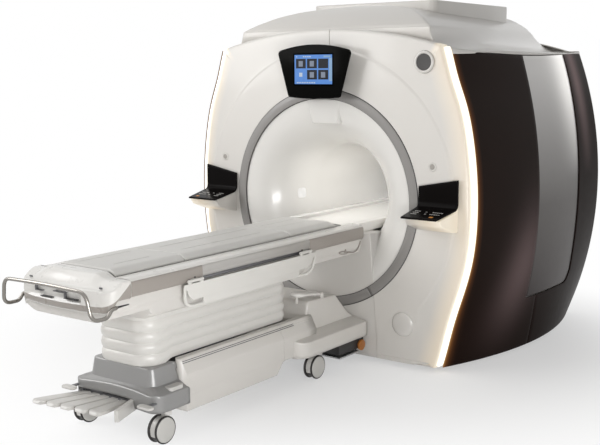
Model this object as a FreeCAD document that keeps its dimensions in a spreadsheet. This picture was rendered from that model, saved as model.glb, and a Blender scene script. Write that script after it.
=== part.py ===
import FreeCAD
import Part
import Sketcher
import math
import os

# Whole-body magnetic resonance scanner: the magnet in its housing, and the wheeled
# patient table docked in front of it.
# Frame: Z up, the patient side looks towards -Y, X to the right seen from the front.
# The origin is on the floor, under the middle of the bore and of the four anchor holes.

os.makedirs("parts", exist_ok=True)
doc = FreeCAD.newDocument("scanner")
sheet = doc.addObject("Spreadsheet::Sheet", "dims")

SIZES = [
    # the housing of the magnet
    ("iso_height", 1070, "bore axis above the floor"),
    ("iso_depth", 1030, "bore centre behind the front plane"),
    ("housing_depth", 2080, "front plane to rear face"),
    ("cover_wall", 10, "wall of the moulded covers"),
    ("cover_rim", 89, "depth of the front cover's rim"),
    ("cover_face", 8, "front cover's face behind the front plane"),
    ("floor_gap", 30, "covers above the floor"),
    ("floor_width", 872, "half width of the front cover at the floor"),
    ("belt_width", 1085, "half width of the front cover at its widest"),
    ("belt_height", 1130, "height where the housing is widest"),
    ("shoulder_width", 880, "half width of the front cover at its top corners"),
    ("shoulder_height", 2075, "height of the front cover's top corners"),
    ("brow_height", 2192, "height of the front cover's top edge in the middle"),
    ("seam", 0.8, "gap between two covers"),
    ("cover_seam", 50, "seam of the two front covers, right of the middle"),
    ("side_base", 20, "side covers above the floor"),
    ("strip_width", 20, "width of the light strips"),
    ("side_middle", 1150, "middle station of the sides behind the front plane"),
    ("side_foot_middle", 1090, "half width at the floor, middle station"),
    ("side_belt_middle", 1160, "half width at the belt, middle station"),
    ("side_top_middle", 955, "half width at the eave, middle station"),
    ("side_foot_rear", 935, "half width at the floor, rear station"),
    ("side_belt_rear", 1148, "half width at the belt, rear station"),
    ("side_top_rear", 955, "half width at the eave, rear station"),
    ("eave_front", 2062, "height of the side covers at the front"),
    ("eave_middle", 2015, "height of the side covers in the middle"),
    ("eave_rear", 2048, "height of the side covers at the rear"),
    ("strip_start", 32, "front edge of the light strips behind the front plane"),
    ("insert_front", 1000, "front edge of the side inserts behind the front plane, at the top"),
    ("insert_front_foot", 800, "front edge of the side inserts at their foot"),
    ("insert_rear", 1690, "rear edge of the side inserts at the top"),
    ("insert_rear_foot", 1515, "rear edge of the side inserts at their foot"),
    ("side_seam", 935, "seam of the side covers below the insert"),
    ("insert_base", 382, "lower edge of the side inserts"),
    ("insert_inset", 6, "how far the inserts lie inside the side covers"),
    ("rear_rim", 50, "depth of the rear cover"),
    ("rear_foot_width", 905, "half width of the rear cover at the floor"),
    ("rear_belt_width", 1128, "half width of the rear cover at its widest"),
    ("rear_top_width", 925, "half width of the rear cover at its top corners"),
    ("rear_shoulder", 2036, "height of the rear cover's top corners"),
    ("rear_brow", 2185, "height of the rear cover's top edge in the middle"),
    # the top
    ("shelf_height", 2078, "height of the top cover's outer edge"),
    ("waist_front", 752, "half width where the top cover's side turns round, at the front"),
    ("waist_rear", 575, "half width of that turn at the rear"),
    ("waist_height", 2192, "height of that turn"),
    ("crown_front", 420, "half width of the crown at the front"),
    ("crown_rear", 330, "half width of the crown at the rear"),
    ("crown_height", 2362, "height of the crown"),
    ("tail_start", 1800, "where the crown starts to fall to the rear"),
    ("tail_height", 2200, "height of the crown's rear edge"),
    ("turret_width", 510, "half width of the turret cover"),
    ("turret_front", 600, "front of the turret cover behind the front plane"),
    ("turret_rear", 1750, "rear of the turret cover"),
    ("turret_height", 2388, "top of the turret cover"),
    ("turret_foot", 2150, "lower edge of the turret cover, inside the top cover"),
    # the bore
    ("bore_radius", 350, "radius of the patient bore"),
    ("bore_wall", 8, "wall of the bore tube"),
    ("ring_inner", 671, "inner radius of the trim ring"),
    ("ring_outer", 733, "outer radius of the trim ring"),
    ("ring_proud", 14, "how far the trim ring stands before the cover's face"),
    ("ring_split", 700, "radius where funnel and front cover meet under the ring"),
    ("funnel_depth", 392, "depth of the front funnel"),
    ("rear_funnel_depth", 280, "depth of the rear funnel"),
    ("rear_funnel_radius", 540, "mouth of the rear funnel"),
    ("bay_foot_width", 436, "half width of the dock bay panel at the floor"),
    ("bay_top_width", 372, "half width of the dock bay panel at its top"),
    ("bay_top", "=deck_height - 38", "top of the dock bay panel, under the bridge"),
    ("bay_depth", 170, "depth of the dock bay panel's cheeks"),
    ("bay_mouth_width", 262, "half width of the opening for the dock"),
    ("bay_mouth_height", 200, "top of the opening for the dock"),
    ("bridge_width", 292, "half width of the bridge in the bore"),
    ("keel_base", "=bay_top - 160", "underside of the bridge's keel before it meets the bore"),
    ("bridge_end", "=housing_depth - 180", "rear end of the bridge behind the front plane"),
    # the magnet
    ("cryostat_radius", 950, "outer radius of the magnet vessel"),
    ("cryostat_bore", 450, "warm bore of the magnet vessel"),
    ("cryostat_front", 200, "front of the vessel behind the front plane"),
    ("cryostat_rear", 1860, "rear of the vessel"),
    ("gradient_length", 1220, "length of the gradient coil"),
    ("cold_head_radius", 150, "radius of the cold head's turret"),
    ("anchor_x", 700, "anchor holes from the middle, across"),
    ("anchor_y", 550, "anchor holes from the middle, along the bore"),
    ("anchor_radius", 9, "radius of the anchor holes"),
    ("foot_plate", 25, "thickness of the foot plates"),
    # display, lights and consoles
    ("display_top_width", 295, "half width of the display at its top corners"),
    ("display_foot_width", 207, "half width of the display at its foot"),
    ("display_foot", 1750, "foot of the display"),
    ("display_top", 2050, "top corners of the display"),
    ("display_bow", 42, "rise of the display's top edge"),
    ("display_front", 106, "display's face before the front plane"),
    ("display_back", 58, "display's back before the front plane"),
    ("screen_width", 302, "width of the screen"),
    ("screen_height", 190, "height of the screen"),
    ("screen_foot", 1836, "lower edge of the screen"),
    ("console_inner", 745, "inner edge of the consoles from the middle"),
    ("console_width", 285, "width of the consoles"),
    ("console_reach", 250, "how far the consoles stand out"),
    ("console_top", 1256, "top of the consoles at their outer edge"),
    ("console_slope", 52, "drop of the consoles' top to their inner edge"),
    ("console_knee", 1080, "height where the console's tray bends"),
    ("console_lip", 1038, "height of the tray's front edge"),
    ("tray_wall", 14, "thickness of the console trays"),
    # the table: distances along the table are counted forwards from the front plane
    ("deck_height", 898, "rails' running surface, raised"),
    ("rail_inner", 225, "inner face of the side rails from the middle"),
    ("rail_outer", 340, "outer face of the side rails"),
    ("rail_top", "=deck_height + 24", "top of the side rails"),
    ("rail_base", "=deck_height - 68", "underside of the side rails"),
    ("rail_wall", 8, "wall of the side rails"),
    ("ledge", 30, "width of the ledge that carries the cradle"),
    ("ledge_depth", 18, "thickness of that ledge"),
    ("table_head", 20, "head end of the table before the front plane"),
    ("table_foot", 2290, "foot end of the table, at its bowed middle"),
    ("casting_bow", 42, "bow of the foot end"),
    ("casting_corner", 60, "corner radius of the foot-end casting, seen from above"),
    ("casting_head", "=table_foot - 180", "where the foot-end casting meets the rails"),
    ("casting_base", "=deck_height - 72", "underside of the foot-end casting at its sides"),
    ("nose_base", "=deck_height - 133", "underside of its nose"),
    ("nose_depth", 65, "length of the nose"),
    ("nose_width", "=rail_outer - 40", "half width of the nose"),
    ("hump_height", "=deck_height + 50", "top of the foot-end casting"),
    ("shell_wall", 6, "wall of the belly shell"),
    ("belly_width", "=rail_outer - 40", "half width of the belly shell at its knee"),
    ("belly_knee", "=deck_height - 193", "height of the belly shell's knee"),
    ("belly_bend", "=deck_height - 136", "height where the belly shell's sides turn in"),
    ("belly_base", "=deck_height - 233", "underside of the belly shell over the bellows"),
    ("belly_head_base", "=deck_height - 183", "underside of the belly shell at the head end"),
    ("belly_foot_base", "=deck_height - 186", "underside of the belly shell at the foot end"),
    ("belly_step", 620, "where the belly shell gets shallower towards the head"),
    ("belly_foot_step", "=table_foot - 345", "where the belly shell gets shallower towards the foot"),
    ("belly_foot", "=table_foot - 46", "foot end of the belly shell"),
    ("belly_inset", 20, "belly shell's sides inside the rails' faces"),
    ("cradle_width", 218, "half width of the cradle"),
    ("cradle_thick", 20, "thickness of the cradle"),
    ("cradle_head", 70, "head end of the cradle"),
    ("pad_thick", 36, "thickness of the cushions"),
    ("pad_crown", 170, "half width of the cushions' flat top"),
    ("pad_head", 145, "head end of the cushions"),
    ("pad_seam_head", 660, "seam between head and middle cushion"),
    ("pad_seam_foot", 1597, "seam between middle and foot cushion"),
    ("pad_foot", "=table_foot - 185", "foot end of the cushions"),
    ("glide", 0.5, "gap between sliding faces"),
    ("pivot_gap", 0.05, "radial clearance of pins in their holes"),
    # lift column, bellows and base
    ("column_place", 1250, "middle of the column"),
    ("column_x", 150, "half width of the outer column"),
    ("column_y", 130, "half depth of the outer column"),
    ("column_wall", 10, "wall of the outer and middle columns"),
    ("column_top", 450, "top of the outer column"),
    ("column_mid_base", "=deck_height - 598", "foot of the middle column, raised"),
    ("column_mid_top", "=deck_height - 328", "top of the middle column, raised"),
    ("column_inner_base", "=deck_height - 488", "foot of the inner column, raised"),
    ("base_top", 405, "top of the shroud, the foot cap's block and the bellows' seat"),
    ("bellows_width", 202, "half width of the bellows"),
    ("bellows_foot", 1890, "foot end of the bellows"),
    ("bellows_head", 640, "head end of the bellows"),
    ("bellows_wall", 4, "thickness of the bellows"),
    ("plate_base", 175, "underside of the chassis plates"),
    ("plate_thick", 20, "thickness of the chassis plates"),
    ("shroud_width", 300, "half width of the base shroud"),
    ("shroud_crown", 258, "half width of the base shroud at its top"),
    ("shroud_belt", 322, "height where the base shroud starts to lean in"),
    ("shroud_base", 118, "lower edge of the base shroud"),
    ("shroud_foot", 1690, "foot end of the base shroud"),
    ("shroud_head", 830, "head end of the base shroud"),
    ("shroud_wall", 6, "wall of the base shroud"),
    ("cap_width", 322, "half width of the foot cap"),
    ("cap_foot", 1940, "foot end of the foot cap"),
    ("cap_base", 172, "lower edge of the foot cap"),
    ("cap_step", 262, "height of the foot cap's step"),
    ("cap_block_width", 252, "half width of the foot cap's upper block at its foot"),
    ("cap_block_crown", 226, "half width of the upper block at its top"),
    ("cap_block_foot", 1930, "foot end of the upper block"),
    ("cap_block_lean", 22, "how far the upper block leans in at its foot end"),
    ("cap_wall", 8, "wall of the foot cap"),
    ("skirt_width", 362, "half width of the dock cover's skirt"),
    ("skirt_base", 180, "lower edge of the skirt"),
    ("skirt_top", 278, "top of the skirt"),
    ("skirt_foot", 735, "foot end of the skirt"),
    ("tower_width", 250, "half width of the dock tower at its foot"),
    ("tower_crown", 226, "half width of the dock tower at its top"),
    ("tower_height", 468, "top of the dock tower"),
    ("tower_foot", 560, "foot end of the dock tower"),
    ("dock_gap", 8, "dock cover before the front plane"),
    ("hook_width", 58, "half width of the docking bar"),
    ("hook_base", 62, "underside of the docking bar"),
    ("hook_top", 118, "top of the docking bar"),
    ("hook_tip", 25, "tip of the docking bar before the front plane"),
    ("socket_width", 230, "half width of the dock socket"),
    ("socket_reach", 72, "how far the dock socket stands out"),
    # casters
    ("caster_x", 286, "casters from the middle, across"),
    ("caster_foot", 1832, "swivels at the foot end"),
    ("caster_head", 462, "swivels at the head end"),
    ("caster_trail", 45, "axle behind the swivel"),
    ("wheel_radius", 75, "radius of the wheels"),
    ("wheel_width", 23, "width of each wheel"),
    ("hood_width", 22, "thickness of the hood between the wheels"),
    ("hood_radius", 69, "radius of the hood"),
    ("axle_radius", 6, "radius of the wheel axles"),
    ("stem_radius", 12, "radius of the swivel stems"),
    # pedals
    ("pedal_offset", 95, "middle pedal from the middle plane, to the left"),
    ("pedal_pitch", 72, "pitch of the pedals at their shaft"),
    ("pedal_lean", 16, "shift of the pedals' tips to the left"),
    ("pedal_fan", 96, "pitch of the pedals at their tips"),
    ("pedal_stagger", 14, "how much shorter each pedal is than the one on its left"),
    ("pedal_width", 84, "width of a pedal at its tip"),
    ("pedal_neck", 46, "width of a pedal at its shaft"),
    ("pedal_thick", 7, "thickness of a pedal"),
    ("pedal_tip", 2222, "tip of the pedals"),
    ("pedal_shaft", 1906, "shaft of the pedals"),
    ("pedal_height", 190, "height of the pedals' shaft"),
    ("pedal_shaft_radius", 5, "radius of the pedals' shaft"),
    ("brake_shaft", 1868, "shaft of the brake bar"),
    ("brake_height", 236, "height of the brake bar's shaft"),
    ("brake_radius", 7, "radius of the brake bar's shaft"),
    ("brake_tip", 2018, "tip of the brake paddles"),
    ("brake_x", 292, "brake paddles from the middle"),
    ("brake_width", 100, "width of a brake paddle"),
    # side guards, handle and lever
    ("guard_axis_x", "=rail_outer + 12", "hinge axis of the side guards from the middle"),
    ("guard_axis_z", "=deck_height - 56", "height of that axis"),
    ("guard_pin", 5, "radius of the hinge pins"),
    ("guard_thick", 12, "thickness of the side guards"),
    ("guard_head", 566, "head end of the side guards"),
    ("guard_foot", 1758, "foot end of the side guards"),
    ("guard_top", "=deck_height - 68", "top edge of the side guards, folded down"),
    ("guard_base", "=deck_height - 198", "lower edge of the side guards, folded down"),
    ("hinge_head", 680, "hinge at the head end"),
    ("hinge_foot", 1660, "hinge at the foot end"),
    ("knuckle", 60, "length of a hinge knuckle"),
    ("handle_radius", 10, "radius of the push handle's tube"),
    ("handle_x", "=rail_outer - 8", "legs of the push handle from the middle"),
    ("handle_foot", "=table_foot + 75", "push handle before the front plane"),
    ("handle_top", "=deck_height - 2", "height of the push handle's bar"),
    ("handle_leg", "=deck_height - 140", "height of the push handle's legs"),
    ("handle_slot", "=deck_height - 103", "height of the slots that guide the push handle"),
    ("handle_end", "=table_foot - 90", "where the legs turn into the shell"),
    ("handle_travel", 55, "travel of the push handle"),
    ("handle_bend", 48, "bend radius of the push handle's corners"),
    ("lever_height", 496, "height of the release lever's pin"),
    ("lever_x", 188, "release lever from the middle"),
    ("lever_pin_place", 322, "release lever's pin before the front plane"),
    ("lever_reach", 268, "length of the release lever"),
    ("lever_width", 76, "width of the release lever at its grip"),
    ("lever_pin", 6, "radius of the release lever's pin"),
]

for number, (alias, size, note) in enumerate(SIZES, start=1):
    sheet.set(f"A{number}", alias)
    sheet.set(f"B{number}", str(size))
    sheet.setAlias(f"B{number}", alias)
    sheet.set(f"C{number}", note)
doc.recompute()


class Size(float):
    """A length that carries its spreadsheet formula along with its value."""

    def __new__(cls, number, text=None):
        size = float.__new__(cls, number)
        size.text = text if text is not None else f"({float(number)!r})"
        return size

    def _with(self, other, sign, number, flipped=False):
        first, second = self.text, Size(other).text if not isinstance(other, Size) else other.text
        if flipped:
            first, second = second, first
        return Size(number, f"({first} {sign} {second})")

    def __add__(self, other):
        return self._with(other, "+", float(self) + float(other))

    def __radd__(self, other):
        return self._with(other, "+", float(other) + float(self), True)

    def __sub__(self, other):
        return self._with(other, "-", float(self) - float(other))

    def __rsub__(self, other):
        return self._with(other, "-", float(other) - float(self), True)

    def __mul__(self, other):
        return self._with(other, "*", float(self) * float(other))

    def __rmul__(self, other):
        return self._with(other, "*", float(other) * float(self), True)

    def __truediv__(self, other):
        return self._with(other, "/", float(self) / float(other))

    def __neg__(self):
        return self._with(-1, "*", -float(self))


class Sheet:
    """Every alias of the sheet as an attribute that is a Size."""


d = Sheet()
for alias, size, note in SIZES:
    setattr(d, alias, Size(float(sheet.get(alias)), f"dims.{alias}"))

FRONT = -d.iso_depth  # y of the front plane
AXIS = d.iso_height  # z of the bore axis


def behind(depth):
    """y of a place behind the front plane."""
    return FRONT + depth


def ahead(reach):
    """y of a place before the front plane, where the table stands."""
    return FRONT - reach


# ---------------------------------------------------------------- bound primitives


def bind(thing, prop, size):
    if isinstance(size, Size):
        thing.setExpression(prop, size.text)
    else:
        thing.setExpression(prop, repr(float(size)))


def place(thing, at):
    for axis, size in zip("xyz", at):
        bind(thing, f"Placement.Base.{axis}", size)
    return thing


def box(low, high, name="block"):
    """A Part::Box between two corners."""
    thing = doc.addObject("Part::Box", name)
    for prop, a, b in zip(("Length", "Width", "Height"), low, high):
        bind(thing, prop, b - a if isinstance(b, Size) else Size(b) - a)
    return place(thing, low)


TURN = {
    "z": FreeCAD.Rotation(),
    "y": FreeCAD.Rotation(FreeCAD.Vector(1, 0, 0), -90),
    "x": FreeCAD.Rotation(FreeCAD.Vector(0, 1, 0), 90),
}


def rod(along, radius, length, at, name="round"):
    """A Part::Cylinder from a point along +x, +y or +z."""
    thing = doc.addObject("Part::Cylinder", name)
    bind(thing, "Radius", radius)
    bind(thing, "Height", length)
    thing.Placement = FreeCAD.Placement(FreeCAD.Vector(), TURN[along])
    return place(thing, at)


def fuse(*things, name="joined"):
    thing = doc.addObject("Part::MultiFuse", name)
    thing.Shapes = list(things)
    return thing


def cut(base, *tools, name="cut"):
    thing = doc.addObject("Part::Cut", name)
    thing.Base = base
    thing.Tool = tools[0] if len(tools) == 1 else fuse(*tools, name="tools")
    return thing


def common(*things, name="shared"):
    thing = doc.addObject("Part::MultiCommon", name)
    thing.Shapes = list(things)
    return thing


def feature(shape, name="shape"):
    """A shape worked out by hand, where no primitive fits."""
    thing = doc.addObject("Part::Feature", name)
    thing.Shape = shape
    return thing


def rounded(base, radius, pick, name="rounded"):
    """A Part::Fillet of one radius on the edges that pick accepts."""
    doc.recompute()
    thing = doc.addObject("Part::Fillet", name)
    thing.Base = base
    edges = enumerate(base.Shape.Edges, start=1)
    thing.Edges = [(n, float(radius), float(radius)) for n, edge in edges if pick(edge)]
    return thing


nodes = {}


def node(thing, label):
    """Marks a thing as a finished sub-part."""
    thing.Label = label
    nodes[label] = thing
    return thing


# ---------------------------------------------------------------- outlines and shells


def vector(x, y, z):
    return FreeCAD.Vector(float(x), float(y), float(z))


def polygon(points):
    wire = Part.makePolygon([vector(*p) for p in points] + [vector(*points[0])])
    return Part.Face(wire)


def prism_y(profile, start, end):
    """A polygon of (x, z) points carried from y = start to y = end."""
    face = polygon([(x, start, z) for x, z in profile])
    return face.extrude(vector(0, float(end) - float(start), 0))


def prism_x(profile, start, end):
    """A polygon of (y, z) points carried from x = start to x = end."""
    face = polygon([(start, y, z) for y, z in profile])
    return face.extrude(vector(float(end) - float(start), 0, 0))


def prism_z(profile, start, end):
    """A polygon of (x, y) points carried from z = start to z = end."""
    face = polygon([(x, y, start) for x, y in profile])
    return face.extrude(vector(0, 0, float(end) - float(start)))


def arc(a, b, c):
    return Part.Arc(vector(*a), vector(*b), vector(*c)).toShape()


def line(a, b):
    return Part.makeLine(vector(*a), vector(*b))


def outline_block(foot, belt, top, low, high, brow, start, end):
    """Two arched sides and an arched top, drawn in a plane and carried along y."""
    y, waist = float(start), float(d.belt_height)
    edges = [
        line((-foot, y, low), (foot, y, low)),
        arc((foot, y, low), (belt, y, waist), (top, y, high)),
        arc((top, y, high), (0, y, brow), (-top, y, high)),
        arc((-top, y, high), (-belt, y, waist), (-foot, y, low)),
    ]
    face = Part.Face(Part.Wire(edges))
    return face.extrude(vector(0, float(end) - y, 0))


def housing_block(grow, start, end, base_rise=0.0):
    """The front cover's outline, grown or shrunk, carried along y."""
    return outline_block(
        float(d.floor_width) + grow,
        float(d.belt_width) + grow,
        float(d.shoulder_width) + grow,
        float(d.floor_gap) + base_rise,
        float(d.shoulder_height) + grow,
        float(d.brow_height) + grow,
        start,
        end,
    )


def rear_block(grow, start, end, base_rise=0.0):
    """The rear cover's outline, grown or shrunk, carried along y."""
    return outline_block(
        float(d.rear_foot_width) + grow,
        float(d.rear_belt_width) + grow,
        float(d.rear_top_width) + grow,
        float(d.floor_gap) + base_rise,
        float(d.rear_shoulder) + grow,
        float(d.rear_brow) + grow,
        start,
        end,
    )


def bore_cylinder(radius, start, end):
    """A cylinder about the bore axis, as a plain shape."""
    length = float(end) - float(start)
    return Part.makeCylinder(float(radius), length, vector(0, start, AXIS), vector(0, 1, 0))


def funnel(mouth_y, throat_y, mouth, throat, wall):
    """A trumpet about the bore axis: its wall follows a quarter of an ellipse."""
    across = float(mouth) - float(throat)
    along = abs(float(throat_y) - float(mouth_y))
    toward = 1.0 if float(throat_y) > float(mouth_y) else -1.0

    def quarter(inset):
        return [
            vector(
                0,
                float(throat_y) - toward * (along - inset) * math.cos(turn),
                float(AXIS) + float(mouth) - (across - inset) * math.sin(turn),
            )
            for turn in [math.pi / 2 * step / 8 for step in range(9)]
        ]

    inner, outer = quarter(0.0), quarter(float(wall))
    faces_toward = Part.BSplineCurve()
    faces_toward.interpolate(inner)
    faces_away = Part.BSplineCurve()
    faces_away.interpolate(outer)
    edges = [
        faces_toward.toShape(),
        Part.makeLine(inner[-1], outer[-1]),
        faces_away.toShape(),
        Part.makeLine(outer[0], inner[0]),
    ]
    face = Part.Face(Part.Wire(Part.__sortEdges__(edges)))
    return face.revolve(vector(0, 0, AXIS), FreeCAD.Vector(0, 1, 0), 360)


def side_station(depth, foot, belt, top, inset, wall):
    """A closed strip across the right side at one depth: outer arc, inner arc, two ends."""
    y, low, high = float(behind(depth)), float(d.side_base), float(d.eave_front) + 30
    points = [(foot, low), (belt, float(d.belt_height) - 30), (top - 12, high)]
    outer = [(x - inset, y, z) for x, z in points]
    inner = [(x - inset - wall, y, z) for x, z in points]
    edges = [
        arc(*outer),
        line(outer[2], inner[2]),
        arc(inner[2], inner[1], inner[0]),
        line(inner[0], outer[0]),
    ]
    return Part.Wire(edges)


def side_shell(inset, wall):
    """The swelling wall of the right side, lofted through three stations."""
    strip = float(d.strip_width)
    front = (d.floor_width + strip, d.belt_width + strip, d.shoulder_width + strip)
    middle = (d.side_foot_middle, d.side_belt_middle, d.side_top_middle)
    rear = (d.side_foot_rear, d.side_belt_rear, d.side_top_rear)
    stations = [
        side_station(depth, *(float(x) for x in widths), inset, wall)
        for depth, widths in (
            (d.cover_rim, front),
            (d.side_middle, middle),
            (d.housing_depth - d.rear_rim, rear),
        )
    ]
    return Part.makeLoft(stations, True, False).common(under_eave(0.0))


def under_eave(rise):
    """The space below the line along which side covers and top cover meet."""
    start, middle = float(behind(0)), float(behind(d.side_middle))
    end = float(behind(d.housing_depth))
    low, side = -100.0, 1500.0
    edges = [
        line((-side, start, low), (-side, end, low)),
        line((-side, end, low), (-side, end, float(d.eave_rear) + rise)),
        arc(
            (-side, end, float(d.eave_rear) + rise),
            (-side, middle, float(d.eave_middle) + rise),
            (-side, start, float(d.eave_front) + rise),
        ),
        line((-side, start, float(d.eave_front) + rise), (-side, start, low)),
    ]
    return Part.Face(Part.Wire(edges)).extrude(vector(2 * side, 0, 0))


def slab(start, end, low=0.0, high=2600.0):
    """A wide slice of space, used to share a shell out into panels."""
    length = float(end) - float(start)
    return Part.makeBox(3000, length, high - low, vector(-1500, start, low))


SEAM = float(d.seam)
WALL = float(d.cover_wall)
FACE = behind(d.cover_face)
RIM = behind(d.cover_rim)


def bay_outline(grow):
    """The dock bay panel seen from the front: a tall shape that narrows upwards."""
    foot = float(d.bay_foot_width) + grow
    head = float(d.bay_top_width) + grow
    low = float(d.floor_gap) - grow
    high = float(d.bay_top) + grow
    return [(-foot, low), (foot, low), (head, high), (-head, high)]


# ---------------------------------------------------------------- front of the housing

bay_space = prism_y(bay_outline(SEAM), behind(-200), behind(500))

front_shell = housing_block(0.0, FACE, RIM)
front_shell = front_shell.cut(housing_block(-WALL, FACE + WALL, RIM, WALL))
front_shell = front_shell.cut(bore_cylinder(d.ring_split, behind(-50), behind(200)))
front_shell = front_shell.cut(bay_space)
for word, seam_side, start in (("right", SEAM / 2, 0.0), ("left", -SEAM / 2, -1500.0)):
    half_space = Part.makeBox(
        1500, 400, 2600, vector(d.cover_seam + seam_side + start, behind(-100), 0)
    )
    node(feature(front_shell.common(half_space)), f"front_cover_{word}")

funnel_start = FACE
funnel_end = behind(d.cover_face + d.funnel_depth)
front_funnel = funnel(funnel_start, funnel_end, d.ring_inner, d.bore_radius, d.bore_wall)
lip = bore_cylinder(d.ring_split - SEAM, funnel_start, funnel_start + 8)
lip = lip.cut(bore_cylinder(d.ring_inner - 8, behind(-10), behind(100)))
front_funnel = front_funnel.fuse(lip).removeSplitter().cut(bay_space)
node(feature(front_funnel), "bore_funnel")

bay = prism_y(bay_outline(0.0), FACE, behind(d.bay_depth))
bay = bay.cut(prism_y(bay_outline(-WALL), FACE + WALL, behind(d.bay_depth + 10)))
mouth_width = float(d.bay_mouth_width)
mouth = Part.makeBox(
    2 * mouth_width, 400, float(d.bay_mouth_height), vector(-mouth_width, behind(-100), 0)
)
node(feature(bay.cut(mouth)), "dock_bay_panel")

ring = doc.addObject("PartDesign::Body", "ring")
ring_sketch = ring.newObject("Sketcher::SketchObject", "ring_section")
plane = [p for p in ring.Origin.OriginFeatures if p.Role == "YZ_Plane"][0]
ring_sketch.AttachmentSupport = [(plane, "")]
ring_sketch.MapMode = "FlatFace"
ring_y = (FACE - d.ring_proud, FACE)
ring_z = (AXIS + d.ring_inner, AXIS + d.ring_outer)
ring_corners = [
    (ring_y[0], ring_z[0]),
    (ring_y[1], ring_z[0]),
    (ring_y[1], ring_z[1]),
    (ring_y[0], ring_z[1]),
]


def draw_polygon(sketch, corners):
    """Lines round a list of corners, each corner held by two bound distances."""
    count = len(corners)
    for n in range(count):
        a, b = corners[n], corners[(n + 1) % count]
        start, end = vector(a[0], a[1], 0), vector(b[0], b[1], 0)
        sketch.addGeometry(Part.LineSegment(start, end), False)
    for n in range(count):
        sketch.addConstraint(Sketcher.Constraint("Coincident", n, 2, (n + 1) % count, 1))
    for n, (x, y) in enumerate(corners):
        for kind, size in (("DistanceX", x), ("DistanceY", y)):
            index = sketch.addConstraint(Sketcher.Constraint(kind, n, 1, float(size)))
            if isinstance(size, Size):
                sketch.setExpression(f"Constraints[{index}]", size.text)


draw_polygon(ring_sketch, ring_corners)
ring_turn = ring.newObject("PartDesign::Revolution", "ring_turn")
ring_turn.Profile = ring_sketch
ring_axis_sketch = ring.newObject("Sketcher::SketchObject", "ring_axis")
ring_axis_sketch.AttachmentSupport = [(plane, "")]
ring_axis_sketch.MapMode = "FlatFace"
draw_polygon(ring_axis_sketch, [(Size(0), AXIS), (Size(100), AXIS), (Size(100), AXIS + 10)])
ring_turn.ReferenceAxis = (ring_axis_sketch, ["Edge1"])
ring_turn.Angle = 360
node(ring, "trim_ring")


def strip_shape():
    """The light strip: the space between two side arcs of the right front edge."""
    start, end = behind(d.strip_start), RIM
    wide = housing_block(float(d.strip_width), start, end)
    narrow = housing_block(0.0, start, end)
    keep = Part.makeBox(600, 400, 2600, vector(d.shoulder_width - 60, behind(0), 0))
    ceiling = float(d.shoulder_height)
    keep = keep.common(slab(behind(0), behind(400), float(d.floor_gap), ceiling))
    return wide.cut(narrow).common(keep)


strip = strip_shape()
node(feature(strip), "light_strip_right")
strip_left = strip.mirror(FreeCAD.Vector(0, 0, 0), FreeCAD.Vector(1, 0, 0))
node(feature(strip_left), "light_strip_left")

# ---------------------------------------------------------------- sides

side_wall = side_shell(0.0, WALL)
rear_edge = behind(d.housing_depth - d.rear_rim) - SEAM


def side_window(grow):
    """The space of the side insert: its edges lean forwards towards the floor."""
    foot, top = float(d.insert_base) - grow, 2300.0
    rise = (top - float(d.insert_base)) / (float(d.eave_middle) - float(d.insert_base))

    def edge(at_foot, at_top, sign):
        y_foot = float(behind(at_foot)) + sign * grow
        y_top = y_foot + rise * (float(at_top) - float(at_foot))
        return (y_foot, foot), (y_top, top)

    front_foot, front_top = edge(d.insert_front_foot, d.insert_front, -1)
    rear_foot, rear_top = edge(d.insert_rear_foot, d.insert_rear, 1)
    return prism_x([front_foot, rear_foot, rear_top, front_top], 0, 1500)


def side_split(step):
    """The space in front of the seam that parts the front side cover from the rear one."""
    start, top, foot = float(RIM) + SEAM, 2300.0, float(d.insert_base)
    rise = (top - foot) / (float(d.eave_middle) - foot)
    lean = float(d.insert_front) - float(d.insert_front_foot)
    upper = float(behind(d.insert_front_foot)) + 40
    seam = float(behind(d.side_seam)) - step
    corners = [
        (start, 0), (seam, 0), (seam, foot + 20), (upper, foot + 20), (upper + rise * lean, top),
        (start, top),
    ]
    return prism_x(corners, 0, 1500)


window = side_window(0.0)
side_front = side_wall.common(side_split(SEAM / 2)).cut(window)
side_rear = side_wall.common(slab(RIM + SEAM, rear_edge)).cut(side_split(-SEAM / 2)).cut(window)
side_insert = side_shell(float(d.insert_inset), 8.0).common(side_window(-SEAM))
for label, shape in (
    ("side_cover_{}_front", side_front),
    ("side_cover_{}_rear", side_rear),
    ("side_insert_{}", side_insert),
):
    node(feature(shape), label.format("right"))
    other = shape.mirror(FreeCAD.Vector(0, 0, 0), FreeCAD.Vector(1, 0, 0))
    node(feature(other), label.format("left"))

# ---------------------------------------------------------------- rear cover

rear_y = behind(d.housing_depth)
rear_start = behind(d.housing_depth - d.rear_rim)
rear = rear_block(0.0, rear_start, rear_y)
rear = rear.cut(rear_block(-WALL, rear_start, rear_y - WALL, WALL))
rear = rear.cut(bore_cylinder(d.rear_funnel_radius - 4, rear_start - 10, rear_y + 10))
rear_throat = rear_y - d.rear_funnel_depth
rear_mouth = funnel(rear_y, rear_throat, d.rear_funnel_radius, d.bore_radius, d.bore_wall)
node(feature(rear.fuse(rear_mouth).removeSplitter()), "rear_cover")

# ---------------------------------------------------------------- top


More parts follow.
